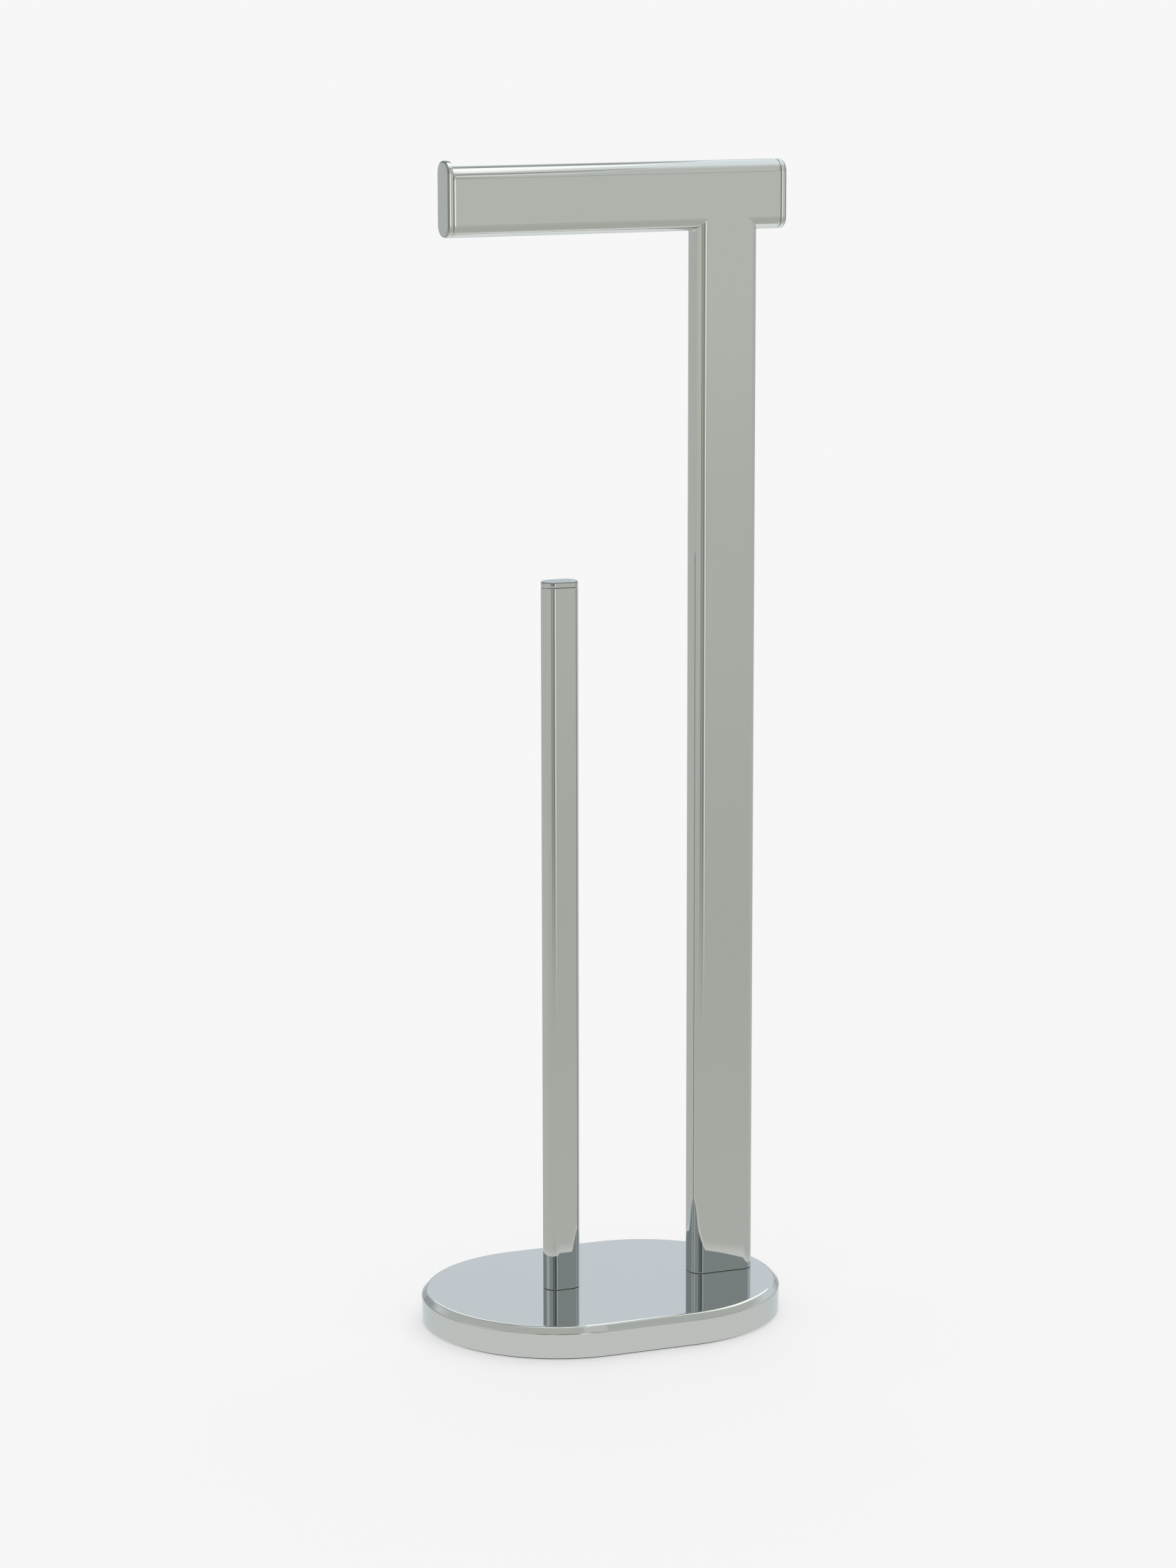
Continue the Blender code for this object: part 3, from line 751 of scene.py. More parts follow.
@dataclass
class Base:
    """Weighted foot: a drawn and plated shell over an iron ballast, on an anti-slip pad."""

    chrome: Material
    foam: Material
    oval: FlatOval = FlatOval(191 * MM, 143 * MM, 160)
    top_z: float = 17 * MM
    rim_z: float = 1 * MM
    wall: float = 1.2 * MM
    bevel: float = 3 * MM
    bevel_turn: float = math.pi / 4
    rim_round: float = 2.4 * MM
    shoulder_round: float = 1.2 * MM
    inner_rim_round: float = 0.6 * MM
    inner_shoulder_round: float = 0.4 * MM
    sheet_edge_round: float = 0.35 * MM
    screw_holes: tuple[tuple[float, float], ...] = (
        (SCREW_X["left"], 3.4 * MM),
        (SCREW_X["right"], 3.4 * MM),
        (POST_X, 2.9 * MM),
        (-28.4 * MM, 1.8 * MM),
    )
    pad_inset: float = 1.8 * MM
    pad_height: float = 3 * MM
    pad_edge_round: float = 0.5 * MM
    pad_slot: FlatOval = FlatOval(31.8 * MM, 14.8 * MM, 24)
    pad_hole: float = 6.4 * MM
    hole_steps: int = 48
    margin: float = 4 * MM  # how far a profile runs on over the flat faces

    def sheet(self, name: str, profile: Profile, openings: Sequence[np.ndarray]) -> Mesh:
        """Draw a body with two flat faces, and openings through them.

        Args:
            name: The mesh's name.
            profile: Insets and heights from one flat face round the edge to the other.
            openings: Their outlines.

        Returns:
            The mesh.
        """
        skin = Skin()
        rings = skin.levels(self.oval, profile)
        skin.stack(rings)
        faces = [[rings[0]], [rings[-1]]]
        for outline in openings:
            for face, end in zip(faces, (profile[0], profile[-1])):
                face.append(skin.ring(outline, end[1]))
            skin.stack([face[-1] for face in faces])
        for face in faces:
            skin.lid(*face)
        return skin.mesh(name)

    def cover(self) -> None:
        """Draw the shell: side wall, bevel, flat top and its inner side, with its screw holes."""
        lean = math.tan(self.bevel_turn / 2) * self.wall
        shoulder = self.top_z - self.bevel
        ceiling = self.top_z - self.wall
        profile = rounded(
            [
                (self.bevel + lean + self.margin, ceiling, 0),
                (self.bevel + lean, ceiling, self.inner_rim_round),
                (self.wall, shoulder - lean, self.inner_shoulder_round),
                (self.wall, self.rim_z, self.sheet_edge_round),
                (0, self.rim_z, self.sheet_edge_round),
                (0, shoulder, self.shoulder_round),
                (self.bevel, self.top_z, self.rim_round),
                (self.bevel + self.margin, self.top_z, 0),
            ]
        )
        holes = [circle(radius, self.hole_steps, x) for x, radius in self.screw_holes]
        mesh = self.sheet("base_shell", profile, holes)
        piece("base_shell", mesh, self.chrome, ["base_cover"])

    def pad(self) -> None:
        """Cut the foam sheet, with its openings to the screws."""
        profile = rounded(
            [
                (self.pad_inset + self.margin, 0, 0),
                (self.pad_inset, 0, self.pad_edge_round),
                (self.pad_inset, self.pad_height, self.pad_edge_round),
                (self.pad_inset + self.margin, self.pad_height, 0),
            ]
        )
        slot = self.pad_slot.ring() + (UPRIGHT_X, 0)
        hole = circle(self.pad_hole, self.hole_steps, POST_X)
        mesh = self.sheet("anti_slip_pad", profile, (slot, hole))
        made = piece("anti_slip_pad", mesh, self.foam, ["base_pad"])


@dataclass
class Frame:
    """Upright and roll arm of one flat-oval tube, welded in a T and ground before plating."""

    chrome: Material
    tube: FlatOval = TUBE
    wall: float = TUBE_WALL
    arm_left_x: float = -80.85 * MM
    arm_right_x: float = 96.25 * MM
    end_round: float = 0.45 * MM
    eased_run: float = 1.1 * MM
    eased_slope: float = math.tan(math.radians(7.7))
    eased_round: float = 0.5 * MM
    weld_round: float = 0.25 * MM
    weld_sag: float = 0.45 * MM
    weld_steps: int = 10
    edge_steps: int = 4

    def halves(
        self, skin: Skin, inset: float, centre: Sequence[float], axis: Sequence[float]
    ) -> tuple[Row, Row]:
        """Add a ring of the tube's section as two halves, each from front to back.

        Args:
            skin: The body.
            inset: How far inside the tube's outline the ring runs.
            centre: The ring's centre.
            axis: Which way the section's width runs.

        Returns:
            The half that lies along the axis, and the other.
        """
        across, out = self.tube.end(inset)
        wide = self.tube.reach + out
        made = []
        for side in (1, -1):
            places = np.outer(side * wide, axis) + centre
            places[:, 1] += across
            made.append(skin.points(places.tolist()))
        return made[0], made[1]

    def wrap(self, skin: Skin, rings: Sequence[Sequence[Row]]) -> None:
        """Join whole rings, each given as two halves."""
        skin.stack([first + second[::-1] for first, second in rings])

    def weld_rows(self, skin: Skin, side: int) -> list[Row]:
        """Bend the arm's underside down into the side of the upright.

        The weld is ground to a crisp crease next to the flat sides and to a wider hollow on the
        narrow side, as a belt grinder leaves it.

        Args:
            skin: The body.
            side: -1 for the left of the upright, 1 for its right.

        Returns:
            Rows of points from front to back, from the arm to the upright.
        """
        across, out = self.tube.end()
        reach = self.tube.reach
        hollow = self.weld_round + self.weld_sag * (out / self.tube.radius) ** 2
        rows = []
        for turn in np.linspace(0, math.pi / 2, self.weld_steps + 1):
            x = UPRIGHT_X + side * (reach + out) + side * hollow * (1 - math.sin(turn))
            z = ARM_Z - reach - out - hollow * (1 - math.cos(turn))
            rows.append(skin.points(np.column_stack((x, across, z)).tolist()))
        return rows

    def build(self) -> None:
        """Weld the two tubes into one body."""
        skin = Skin()
        foot_edge = [(self.wall, 0, 0), (0, 0, self.end_round), (0, self.end_round * 2, 0)]
        arm_edge = [
            (self.wall, 0, 0),
            (self.eased_run * self.eased_slope, 0, self.end_round),
            (0, self.eased_run, self.eased_round),
            (0, self.eased_run + self.end_round, 0),
        ]
        ends = []
        for side, end_x in ((-1, self.arm_left_x), (1, self.arm_right_x)):
            rings = []
            for inset, along in rounded(arm_edge, self.edge_steps):
                centre = (end_x - side * along, 0, ARM_Z)
                rings.append(self.halves(skin, inset, centre, (0, 0, 1)))
            self.wrap(skin, rings)
            ends += [rings[0], rings[-1]]
        bore_left, (left_upper, left_lower), bore_right, (right_upper, right_lower) = ends
        foot = []
        for inset, along in rounded(foot_edge, self.edge_steps):
            foot.append(self.halves(skin, inset, (UPRIGHT_X, 0, FOOT_Z + along), (-1, 0, 0)))
        self.wrap(skin, foot)

        # The arm's round top, its bore, and the flat sides that run down into the upright
        skin.stack([left_upper, right_upper], closed=False)
        self.wrap(skin, [bore_left, bore_right])
        left_rows = [left_lower, *self.weld_rows(skin, -1), foot[-1][0]]
        right_rows = [right_lower, *self.weld_rows(skin, 1), foot[-1][1]]
        for rows in (left_rows, right_rows):
            skin.stack(rows, closed=False)
        for end in (0, -1):
            outline = [left_upper[end]] + [row[end] for row in left_rows]
            outline += [row[end] for row in right_rows[::-1]] + [right_upper[end]]
            skin.body.faces.new(outline)

        # The upright's bore, up to the underside of the arm's tube
        roofs = []
        for half in foot[0]:
            places = []
            for x, y, _ in (point.co for point in half):
                off_flat = max(abs(y) - self.tube.flat, 0)
                drop = self.tube.reach + math.sqrt(self.tube.radius**2 - off_flat**2)
                places.append((x, y, ARM_Z - drop))
            roofs.append(skin.points(places))
        self.wrap(skin, [foot[0], roofs])
        skin.stack(roofs, closed=False)
        mesh = skin.mesh("upright_and_arm")
        nodes = ["arm_tube", "upright_tube"]
        piece("upright_and_arm", mesh, self.chrome, nodes)


@dataclass
class SparePost:
    """Short post of smaller flat-oval tube that the spare rolls are stacked on."""

    chrome: Material
    tube: FlatOval = POST_TUBE
    wall: float = TUBE_WALL
    top_z: float = 386.85 * MM
    end_round: float = 0.45 * MM

    def build(self) -> None:
        """Sweep the tube's wall round its flat oval."""
        depth = self.tube.depth - self.wall
        growth = Growth(
            "flat_oval_tube",
            self.chrome,
            width=self.tube.width - self.wall,
            depth=depth,
            bend=depth / 2,
            bend_steps=self.tube.steps // 2,
            thick=self.wall,
            tall=self.top_z - FOOT_Z,
            edge=self.end_round,
        )
        given = growth.given
        box = {"Width": given["width"], "Height": given["depth"]}
        sheet = add_node(growth.tree, "GeometryNodeCurvePrimitiveQuadrilateral", box)
        bends = {"Curve": sheet, "Radius": given["bend"], "Count": given["bend_steps"]}
        bends["Limit Radius"] = True
        path = add_node(growth.tree, "GeometryNodeFilletCurve", bends, mode="POLY")
        mesh = growth.run(swept_ring(growth, path), bpy.data.meshes.new("spare_post"))
        place = Matrix.Translation((POST_X, 0, (FOOT_Z + self.top_z) / 2))
        nodes = ["spare_post_tube"]
        piece("spare_post", mark_sharp(mesh), self.chrome, nodes, place)


class Facing(Enum):
    """Which way a cap faces, as the axes of its width and of its face."""

    LEFT = ((0, 0, 1), (-1, 0, 0))
    RIGHT = ((0, 0, 1), (1, 0, 0))
    UP = ((1, 0, 0), (0, 0, 1))

    def place(self, seam: Sequence[float]) -> Matrix:
        """Turn a cap drawn face up this way and put its seam at a point.

        Args:
            seam: The point.

        Returns:
            The turn and the move.
        """
        width_axis, face_axis = (Vector(axis) for axis in self.value)
        turn = Matrix((width_axis, face_axis.cross(width_axis), face_axis)).transposed()
        return Matrix.Translation(seam) @ turn.to_4x4()


@dataclass
class EndCap:
    """Cast cap whose ribbed plug is pressed into a tube's bore."""

    name: str
    node: str
    chrome: Material
    facing: Facing
    seam: tuple[float, float, float]
    tube: FlatOval = TUBE
    wall: float = TUBE_WALL
    thickness: float = 3 * MM
    lip: float = 0.0
    face_round: float = 1.2 * MM
    face_run: float = 1.5 * MM
    face_slope: float = math.tan(math.radians(8.15))
    face_margin: float = 0.5 * MM
    seam_round: float = 0.35 * MM
    seam_run: float = 0.9 * MM
    seam_slope: float = math.tan(math.radians(9.75))
    slope_round: float = 0.4 * MM
    plate_steps: int = 8
    plug_steps: int = 3
    plug_length: float = 11 * MM
    plug_wall: float = 1.6 * MM
    plug_relief: float = 1 * MM
    plug_round: float = 0.4 * MM
    rib_width: float = 1.2 * MM
    rib_run_out: float = 2 * MM
    rib_clearance: float = 0.3 * MM
    ribs: int = 8
    rib_sides: int = 16
    row_steps: int = 8

    def body(self) -> Mesh:
        """Draw the plate and its hollow plug, face up, with the seam at height zero.

        Returns:
            The mesh.
        """
        outer = self.wall + self.plug_relief
        hollow = outer + self.plug_wall
        drop = self.face_run * self.face_slope
        plug = [
            (hollow, 0, 0),
            (hollow, -self.plug_length, self.plug_round),
            (outer, -self.plug_length, self.plug_round),
            (outer, 0, 0),
        ]
        plate = [
            (outer + self.seam_round, 0, 0),
            (self.seam_run * self.seam_slope, 0, self.seam_round),
            (0, self.seam_run, self.slope_round),
            (0, self.thickness - self.face_run, self.slope_round),
            (drop, self.thickness, self.face_round),
            (drop + self.face_round + self.face_margin, self.thickness, 0),
        ]
        skin = Skin()
        rings = skin.levels(self.tube, rounded(plug, self.plug_steps))
        rings += skin.levels(self.tube, rounded(plate, self.plate_steps)[1:], self.lip)
        skin.stack(rings)
        skin.lid(rings[0])
        skin.lid(rings[-1])
        return skin.mesh(self.name)

    def ribbed(self, mesh: Mesh) -> Mesh:
        """Stand crush ribs round the plug.

        Args:
            mesh: The cap without its ribs.

        Returns:
            The cap with them.
        """
        # The ribs' axes run round an oval on which each rib stands as far out as it should
        radius = self.rib_width / 2
        length = self.plug_length - self.rib_run_out
        inset = self.wall + self.rib_clearance + radius
        growth = Growth(
            "crush_ribs",
            self.chrome,
            width=self.tube.width - 2 * inset,
            depth=self.tube.depth - 2 * inset,
            corner=self.tube.radius - inset,
            row_steps=self.row_steps,
            ribs=self.ribs,
            sides=self.rib_sides,
            radius=radius,
            length=length,
            drop=-length / 2,
        )
        tree, given = growth.tree, growth.given
        box = {"Width": given["width"], "Height": given["depth"]}
        outline = add_node(tree, "GeometryNodeCurvePrimitiveQuadrilateral", box)
        bends = {"Curve": outline, "Radius": given["corner"], "Count": given["row_steps"]}
        bends["Limit Radius"] = True
        oval = add_node(tree, "GeometryNodeFilletCurve", bends, mode="POLY")
        row = add_node(tree, "GeometryNodeResampleCurve", {"Curve": oval, "Count": given["ribs"]})
        rod = {"Vertices": given["sides"], "Radius": given["radius"], "Depth": given["length"]}
        rod |= {"Side Segments": 1, "Fill Segments": 1}
        rib = add_node(tree, "GeometryNodeMeshCylinder", rod)
        down = add_node(tree, "ShaderNodeCombineXYZ", {"Z": given["drop"]})
        hung = add_node(tree, "GeometryNodeTransform", {"Geometry": rib, "Translation": down})
        stand = {"Points": row, "Instance": hung}
        return growth.run(add_node(tree, "GeometryNodeInstanceOnPoints", stand), mesh, keep=True)

    def build(self) -> None:
        """Make the cap and press it home."""
        place = self.facing.place(self.seam)
        mesh = self.ribbed(self.body())
        piece(self.name, mesh, self.chrome, [self.node], place)


@dataclass
class Fixing:
    """Button-head socket screw with its split lock washer, drawn with the bearing face at zero."""

    name: str
    node: str
    zinc: Material
    x: float
    bearing_z: float
    thread: float = 6 * MM
    pitch: float = 1 * MM
    length: float = 20 * MM
    head: float = 10.5 * MM
    head_height: float = 3.3 * MM
    socket: float = 4 * MM
    washer: float = 11.2 * MM
    washer_thickness: float = 1.6 * MM
    washer_gap: float = 0.3 * MM
    clearance: float = 0.4 * MM
    sides: int = 48
    dome_steps: int = 8
    thread_steps: int = 24
    coil_steps: int = 64

    # Shares of the pitch, the shank's radius, the head's width and the head's height
    root_depth: float = 0.6
    ridge: tuple[float, float, float] = (0.62, 0.8, 0.12)  # height, foot and crest
    tip_taper: float = 0.3
    crown: float = 0.30
    rim: float = 0.18
    socket_depth: float = 0.40
    # Share of a full turn of the washer, and of its thickness in its rounded edges
    coil_turns: float = 0.965
    coil_edge: float = 0.12

    def blank(self) -> Mesh:
        """Forge the screw's blank: domed head, hexagon socket and plain shank.

        Returns:
            The mesh.
        """
        skin = Skin()
        root = self.thread / 2 - self.pitch * self.root_depth
        crown = self.head * self.crown
        profile = [(root * (1 - self.tip_taper), self.length)]
        profile += [(root, self.length - root * self.tip_taper), (root, 0.0)]
        profile += [(self.head / 2, 0.0), (self.head / 2, -self.head_height * self.rim)]
        for turn in np.linspace(0, math.pi / 2, self.dome_steps + 1)[1:]:
            out = crown + (self.head / 2 - crown) * math.cos(turn)
            rise = self.rim + (1 - self.rim) * math.sin(turn)
            profile.append((out, -self.head_height * rise))
        rings = [skin.ring(circle(radius, self.sides), height) for radius, height in profile]
        turns = np.arange(self.sides) * math.tau / self.sides
        sector = (turns + math.pi / 6) % (math.pi / 3) - math.pi / 6
        hexagon = circle(self.socket / 2 / np.cos(sector), self.sides)
        for height in (-self.head_height, -self.head_height * self.socket_depth):
            rings.append(skin.ring(hexagon, height))
        skin.stack(rings)
        skin.lid(rings[0])
        skin.lid(rings[-1])
        return skin.mesh(self.name)

    def threaded(self, blank: Mesh) -> Mesh:
        """Roll a thread round the shank.

        Args:
            blank: The screw's blank.

        Returns:
            The screw.
        """
        height, foot, crest = (share * self.pitch for share in self.ridge)
        growth = Growth(
            "rolled_thread",
            self.zinc,
            middle=(self.thread - height) / 2,
            pitch=self.pitch,
            length=self.length - 2 * self.pitch,
            steps=self.thread_steps,
            ridge_height=height,
            ridge_foot=foot,
            ridge_crest=crest,
        )
        tree, given = growth.tree, growth.given
        pitches = {0: given["length"], 1: given["pitch"]}
        helix = {
            "Resolution": given["steps"],
            "Rotations": add_node(tree, "ShaderNodeMath", pitches, operation="DIVIDE"),
            "Start Radius": given["middle"],
            "End Radius": given["middle"],
            "Height": given["length"],
        }
        spiral = {"Curve": add_node(tree, "GeometryNodeCurveSpiral", helix)}
        upright = add_node(tree, "GeometryNodeSetCurveNormal", spiral, mode="Z_UP")
        sides = {"Height": given["ridge_height"], "Bottom Width": given["ridge_foot"]}
        sides |= {"Top Width": given["ridge_crest"], "Offset": 0.0}
        ridge = add_node(
            tree, "GeometryNodeCurvePrimitiveQuadrilateral", sides, mode="TRAPEZOID"
        )
        outwards = {"Geometry": ridge, "Rotation": (0.0, 0.0, -math.pi / 2)}
        section = add_node(tree, "GeometryNodeTransform", outwards)
        sweep = {"Curve": upright, "Profile Curve": section, "Fill Caps": True}
        thread = add_node(tree, "GeometryNodeCurveToMesh", sweep)
        up = add_node(tree, "ShaderNodeCombineXYZ", {"Z": given["pitch"]})
        raised = add_node(tree, "GeometryNodeTransform", {"Geometry": thread, "Translation": up})
        return growth.run(raised, blank, keep=True)

    def split_ring(self) -> Mesh:
        """Coil the lock washer, nearly a full turn of square wire pressed flat.

        Returns:
            The washer.
        """
        outer = self.washer / 2
        inner = self.thread / 2 + self.clearance
        growth = Growth(
            "split_ring",
            self.zinc,
            middle=(outer + inner) / 2,
            turns=self.coil_turns,
            steps=self.coil_steps,
            thick=outer - inner,
            tall=self.washer_thickness,
            edge=self.washer_thickness * self.coil_edge,
        )
        given = growth.given
        coil = {"Resolution": given["steps"], "Rotations": given["turns"], "Height": 0.0}
        coil |= {"Start Radius": given["middle"], "End Radius": given["middle"]}
        path = add_node(growth.tree, "GeometryNodeCurveSpiral", coil)
        return growth.run(swept_ring(growth, path, caps=True), bpy.data.meshes.new(self.name))

    def build(self) -> None:
        """Make the screw and its lock washer and put them under the ballast."""
        screw = mark_sharp(self.threaded(self.blank()))
        place = Matrix.Translation((self.x, 0, self.bearing_z))
        piece(self.name, screw, self.zinc, [self.node], place)
        washer = mark_sharp(self.split_ring())
        name = self.name.replace("screw", "split_ring")
        node = self.node.replace("screw", "lock_washer")
        height = self.bearing_z + self.washer_gap + self.washer_thickness / 2
        place = Matrix.Translation((self.x, 0, height))
        piece(name, washer, self.zinc, [node], place)


# Studio


@dataclass(frozen=True)
class Card:
    """Flat light or flag over the holder, which only the chrome sees."""

    name: str
    height: float
    shades: tuple[Stop, ...]  # by the place along Y
    corners: tuple[tuple[float, float], ...]


def even(shade: float) -> tuple[Stop, ...]:
    """Give one shade to a whole card."""
    return (-1.0, shade), (1.0, shade)


PANEL = (
    (-0.84, (0.80, 0.81, 0.79)),
    (-0.30, (0.81, 0.82, 0.80)),
    (-0.20, (0.78, 0.79, 0.78)),
    (-0.152, (0.84, 0.85, 0.85)),
    (-0.116, (0.91, 0.93, 0.94)),
    (-0.078, (1.02, 1.05, 1.08)),
    (-0.05, (1.13, 1.17, 1.22)),
    (-0.012, (1.20, 1.25, 1.33)),
    (0.30, (1.20, 1.25, 1.33)),
)
EDGE = ((-0.34, (1.5, 1.5, 1.45)), (-0.24, (1.05, 1.05, 1.02)), (-0.14, (0.95, 0.96, 0.95)))
CARDS = (
    Card("overhead_panel", 0.803, PANEL, (
        (-0.3, 0.114), (-0.3, -0.05), (-0.009, -0.1), (0.026, -0.233), (0.078, -0.4),
        (0.27, -0.84), (0.49, -0.84), (0.298, -0.4), (0.246, -0.233), (0.3, -0.1),
        (0.34, 0.293), (0.21, 0.293), (0.105, 0.114),
    )),
    Card("back_flag", 0.803, even(0.55), (
        (-0.3, 0.114), (0.105, 0.114), (0.21, 0.293), (0.3, 0.6), (0.36, 0.85), (-0.3, 0.85),
    )),
    Card("strip_light", 0.8, even(1.75), (
        (-0.118, -0.044), (0.007, -0.044), (0.05, -0.008), (0.094, 0.027), (0.118, 0.056),
        (0.102, 0.096), (-0.111, 0.096),
    )),
    Card("strip_rim", 0.8, even(1.45), (
        (-0.109, -0.108), (0.016, -0.108), (0.03, -0.099), (0.062, -0.044), (0.08, -0.008),
        (0.106, 0.027), (0.134, 0.064), (0.102, 0.096), (0.118, 0.056), (0.094, 0.027),
        (0.05, -0.008), (0.007, -0.044), (-0.118, -0.044),
    )),
    Card("frame_shadow", 0.8, even(0.35), (
        (0.023, -0.233), (0.057, -0.213), (0.089, -0.182), (0.109, -0.122), (0.12, -0.099),
        (0.105, -0.103), (0.081, -0.153), (0.045, -0.17), (0.009, -0.182),
    )),
    Card("frame_edge", 0.8, EDGE, (
        (0.056, -0.335), (0.096, -0.335), (0.129, -0.315), (0.12, -0.176), (0.127, -0.137),
        (0.11, -0.137), (0.114, -0.267), (0.079, -0.283), (0.038, -0.279),
    )),
)


@dataclass
class Studio:
    """Pale sweep, soft daylight, cards over the holder and the camera.

    Shades are shares of plain white, and the chrome alone sees the room and the cards.
    """

    eye: tuple[float, float, float] = (-866.9 * MM, -2138.9 * MM, 731.6 * MM)
    yaw: float = math.radians(21.904)
    pitch: float = math.radians(10.997)
    roll: float = math.radians(0.092)
    focus: float = 6450.8  # in pixels of the photograph
    picture_height: float = 2212.0
    film_width: float = 36.0
    sight: tuple[float, float] = (0.1, 200.0)
    background: str = "#F6F6F6"
    paper: str = "#F1F1F1"
    sky: float = 0.80
    sun: float = 0.87
    sun_turn: tuple[float, float, float] = (math.radians(38), 0.0, math.radians(140))
    sun_width: float = math.radians(50)
    floor_reach: float = 60.0
    base_reach: float = 24 * MM
    base_radius: float = 71.5 * MM
    table_seen: tuple[float, float] = (45 * MM, 70 * MM)
    table_glow: float = 0.577
    table_paint: float = 0.47
    table_mirrored: float = 1.03
    brightest: float = 2.0  # shade that a colour ramp holds as 1

    # Shades of the walls by the sine of the height over the horizon, and where along Y they meet
    front_wall: tuple[Stop, ...] = (
        (-1.0, (0.67, 0.675, 0.64)),
        (-0.45, (0.66, 0.665, 0.63)),
        (-0.30, (0.715, 0.71, 0.69)),
        (-0.22, (0.675, 0.68, 0.645)),
        (-0.14, (0.715, 0.73, 0.69)),
        (-0.08, (0.786, 0.798, 0.755)),
        (0.02, (0.79, 0.80, 0.76)),
        (0.12, (0.70, 0.72, 0.72)),
        (0.25, (0.60, 0.61, 0.63)),
        (0.36, (0.60, 0.61, 0.63)),
        (0.60, (0.66, 0.68, 0.68)),
        (1.0, (0.68, 0.69, 0.66)),
    )
    back_wall: tuple[Stop, ...] = (
        (-1.0, 1.2),
        (-0.60, 1.1),
        (-0.38, (0.74, 0.74, 0.72)),
        (-0.04, (0.70, 0.70, 0.68)),
        (0.04, 0.60),
        (0.14, (0.75, 0.77, 0.80)),
        (0.22, (0.96, 0.965, 1.01)),
        (0.36, (0.96, 0.965, 1.01)),
        (0.60, (0.70, 0.71, 0.70)),
        (1.0, (0.68, 0.69, 0.66)),
    )
    walls_meet: tuple[float, float] = (-0.35, -0.05)

    # Light for the base's rim, and how far it reaches each way, with 2 for all of it
    rim_light: float = 1.8
    rim_reach: tuple[tuple[str, tuple[Stop, ...]], ...] = (
        ("X", ((0.05, 0.0), (0.13, 2.0), (0.60, 2.0), (0.75, 0.0))),
        ("Y", ((0.05, 0.0), (0.20, 2.0))),
        ("Z", ((0.37, 0.0), (0.43, 2.0))),
    )

    # Shades of the flags by how many degrees to the right of the camera they stand, for the
    # lower flags and for the high ones, which begin at a sine of the height
    flags: tuple[tuple[float, float, float], ...] = (
        (-180.0, 1.0, 1.0),
        (-158.0, 1.0, 1.0),
        (-148.0, 1.0, 0.55),
        (-95.0, 1.0, 0.55),
        (-80.0, 1.0, 1.0),
        (-21.0, 1.0, 1.0),
        (-15.0, 0.60, 0.45),
        (-9.0, 0.55, 0.40),
        (-4.0, 0.90, 0.85),
        (2.0, 0.50, 0.28),
        (9.0, 0.50, 0.28),
        (16.0, 0.60, 0.45),
        (21.0, 1.9, 1.9),
        (25.0, 1.9, 1.9),
        (28.0, 1.0, 1.0),
        (33.0, 0.85, 0.85),
        (40.0, 1.0, 1.0),
        (180.0, 1.0, 1.0),
    )
    high_flags_begin: tuple[float, float] = (0.04, 0.14)
    # Where no flag stands, by the sine of the height, with 2 for a full gap
    flag_gaps: tuple[Stop, ...] = (
        (-0.45, 2.0),
        (-0.299, 0.0),
        (-0.288, 2.0),
        (-0.25, 2.0),
        (-0.19, 0.0),
        (0.30, 0.0),
        (0.45, 2.0),
    )

    def camera(self) -> None:
        """Stand the camera where the photograph was taken."""
        flat = math.cos(self.pitch)
        ahead = Vector(
            (math.sin(self.yaw) * flat, math.cos(self.yaw) * flat, -math.sin(self.pitch))
        )
        level = Vector((math.cos(self.yaw), -math.sin(self.yaw), 0))
        down = ahead.cross(level)
        right = math.cos(self.roll) * level + math.sin(self.roll) * down
        below = math.cos(self.roll) * down - math.sin(self.roll) * level
        lens = bpy.data.cameras.new("camera")
        lens.sensor_width = self.film_width
        lens.lens = self.focus / self.picture_height * self.film_width
        lens.clip_start, lens.clip_end = self.sight
        camera = show("camera", lens)
        turn = Matrix((right, -below, -ahead)).transposed()
        camera.matrix_world = Matrix.Translation(self.eye) @ turn.to_4x4()
        bpy.context.scene.camera = camera

    def colour(self, shade: float | tuple[float, float, float]) -> Colour:
        """Give a shade as a share of the brightest."""
        parts = shade if isinstance(shade, tuple) else (shade,) * 3
        return (*(part / self.brightest for part in parts), 1.0)

    def shades(self, tree: Tree, value: bpy.types.NodeSocket, stops: Sequence[Stop]) -> Node:
        """Look a value up in a row of shades.

        Args:
            tree: The tree.
            value: What to look up.
            stops: Values with the shade of each, in rising order.

        Returns:
            The shade, as a share of the brightest.
        """
        low, high = stops[0][0], stops[-1][0]
        span = {"Value": value, "From Min": low, "From Max": high}
        share = add_node(tree, "ShaderNodeMapRange", span)
        row = add_node(tree, "ShaderNodeValToRGB", {"Fac": share})
        row.color_ramp.interpolation = "EASE"
        for _ in stops[2:]:
            row.color_ramp.elements.new(0.5)
        for element, (place, shade) in zip(row.color_ramp.elements, stops):
            element.position = (place - low) / (high - low)
            element.color = self.colour(shade)
        return row

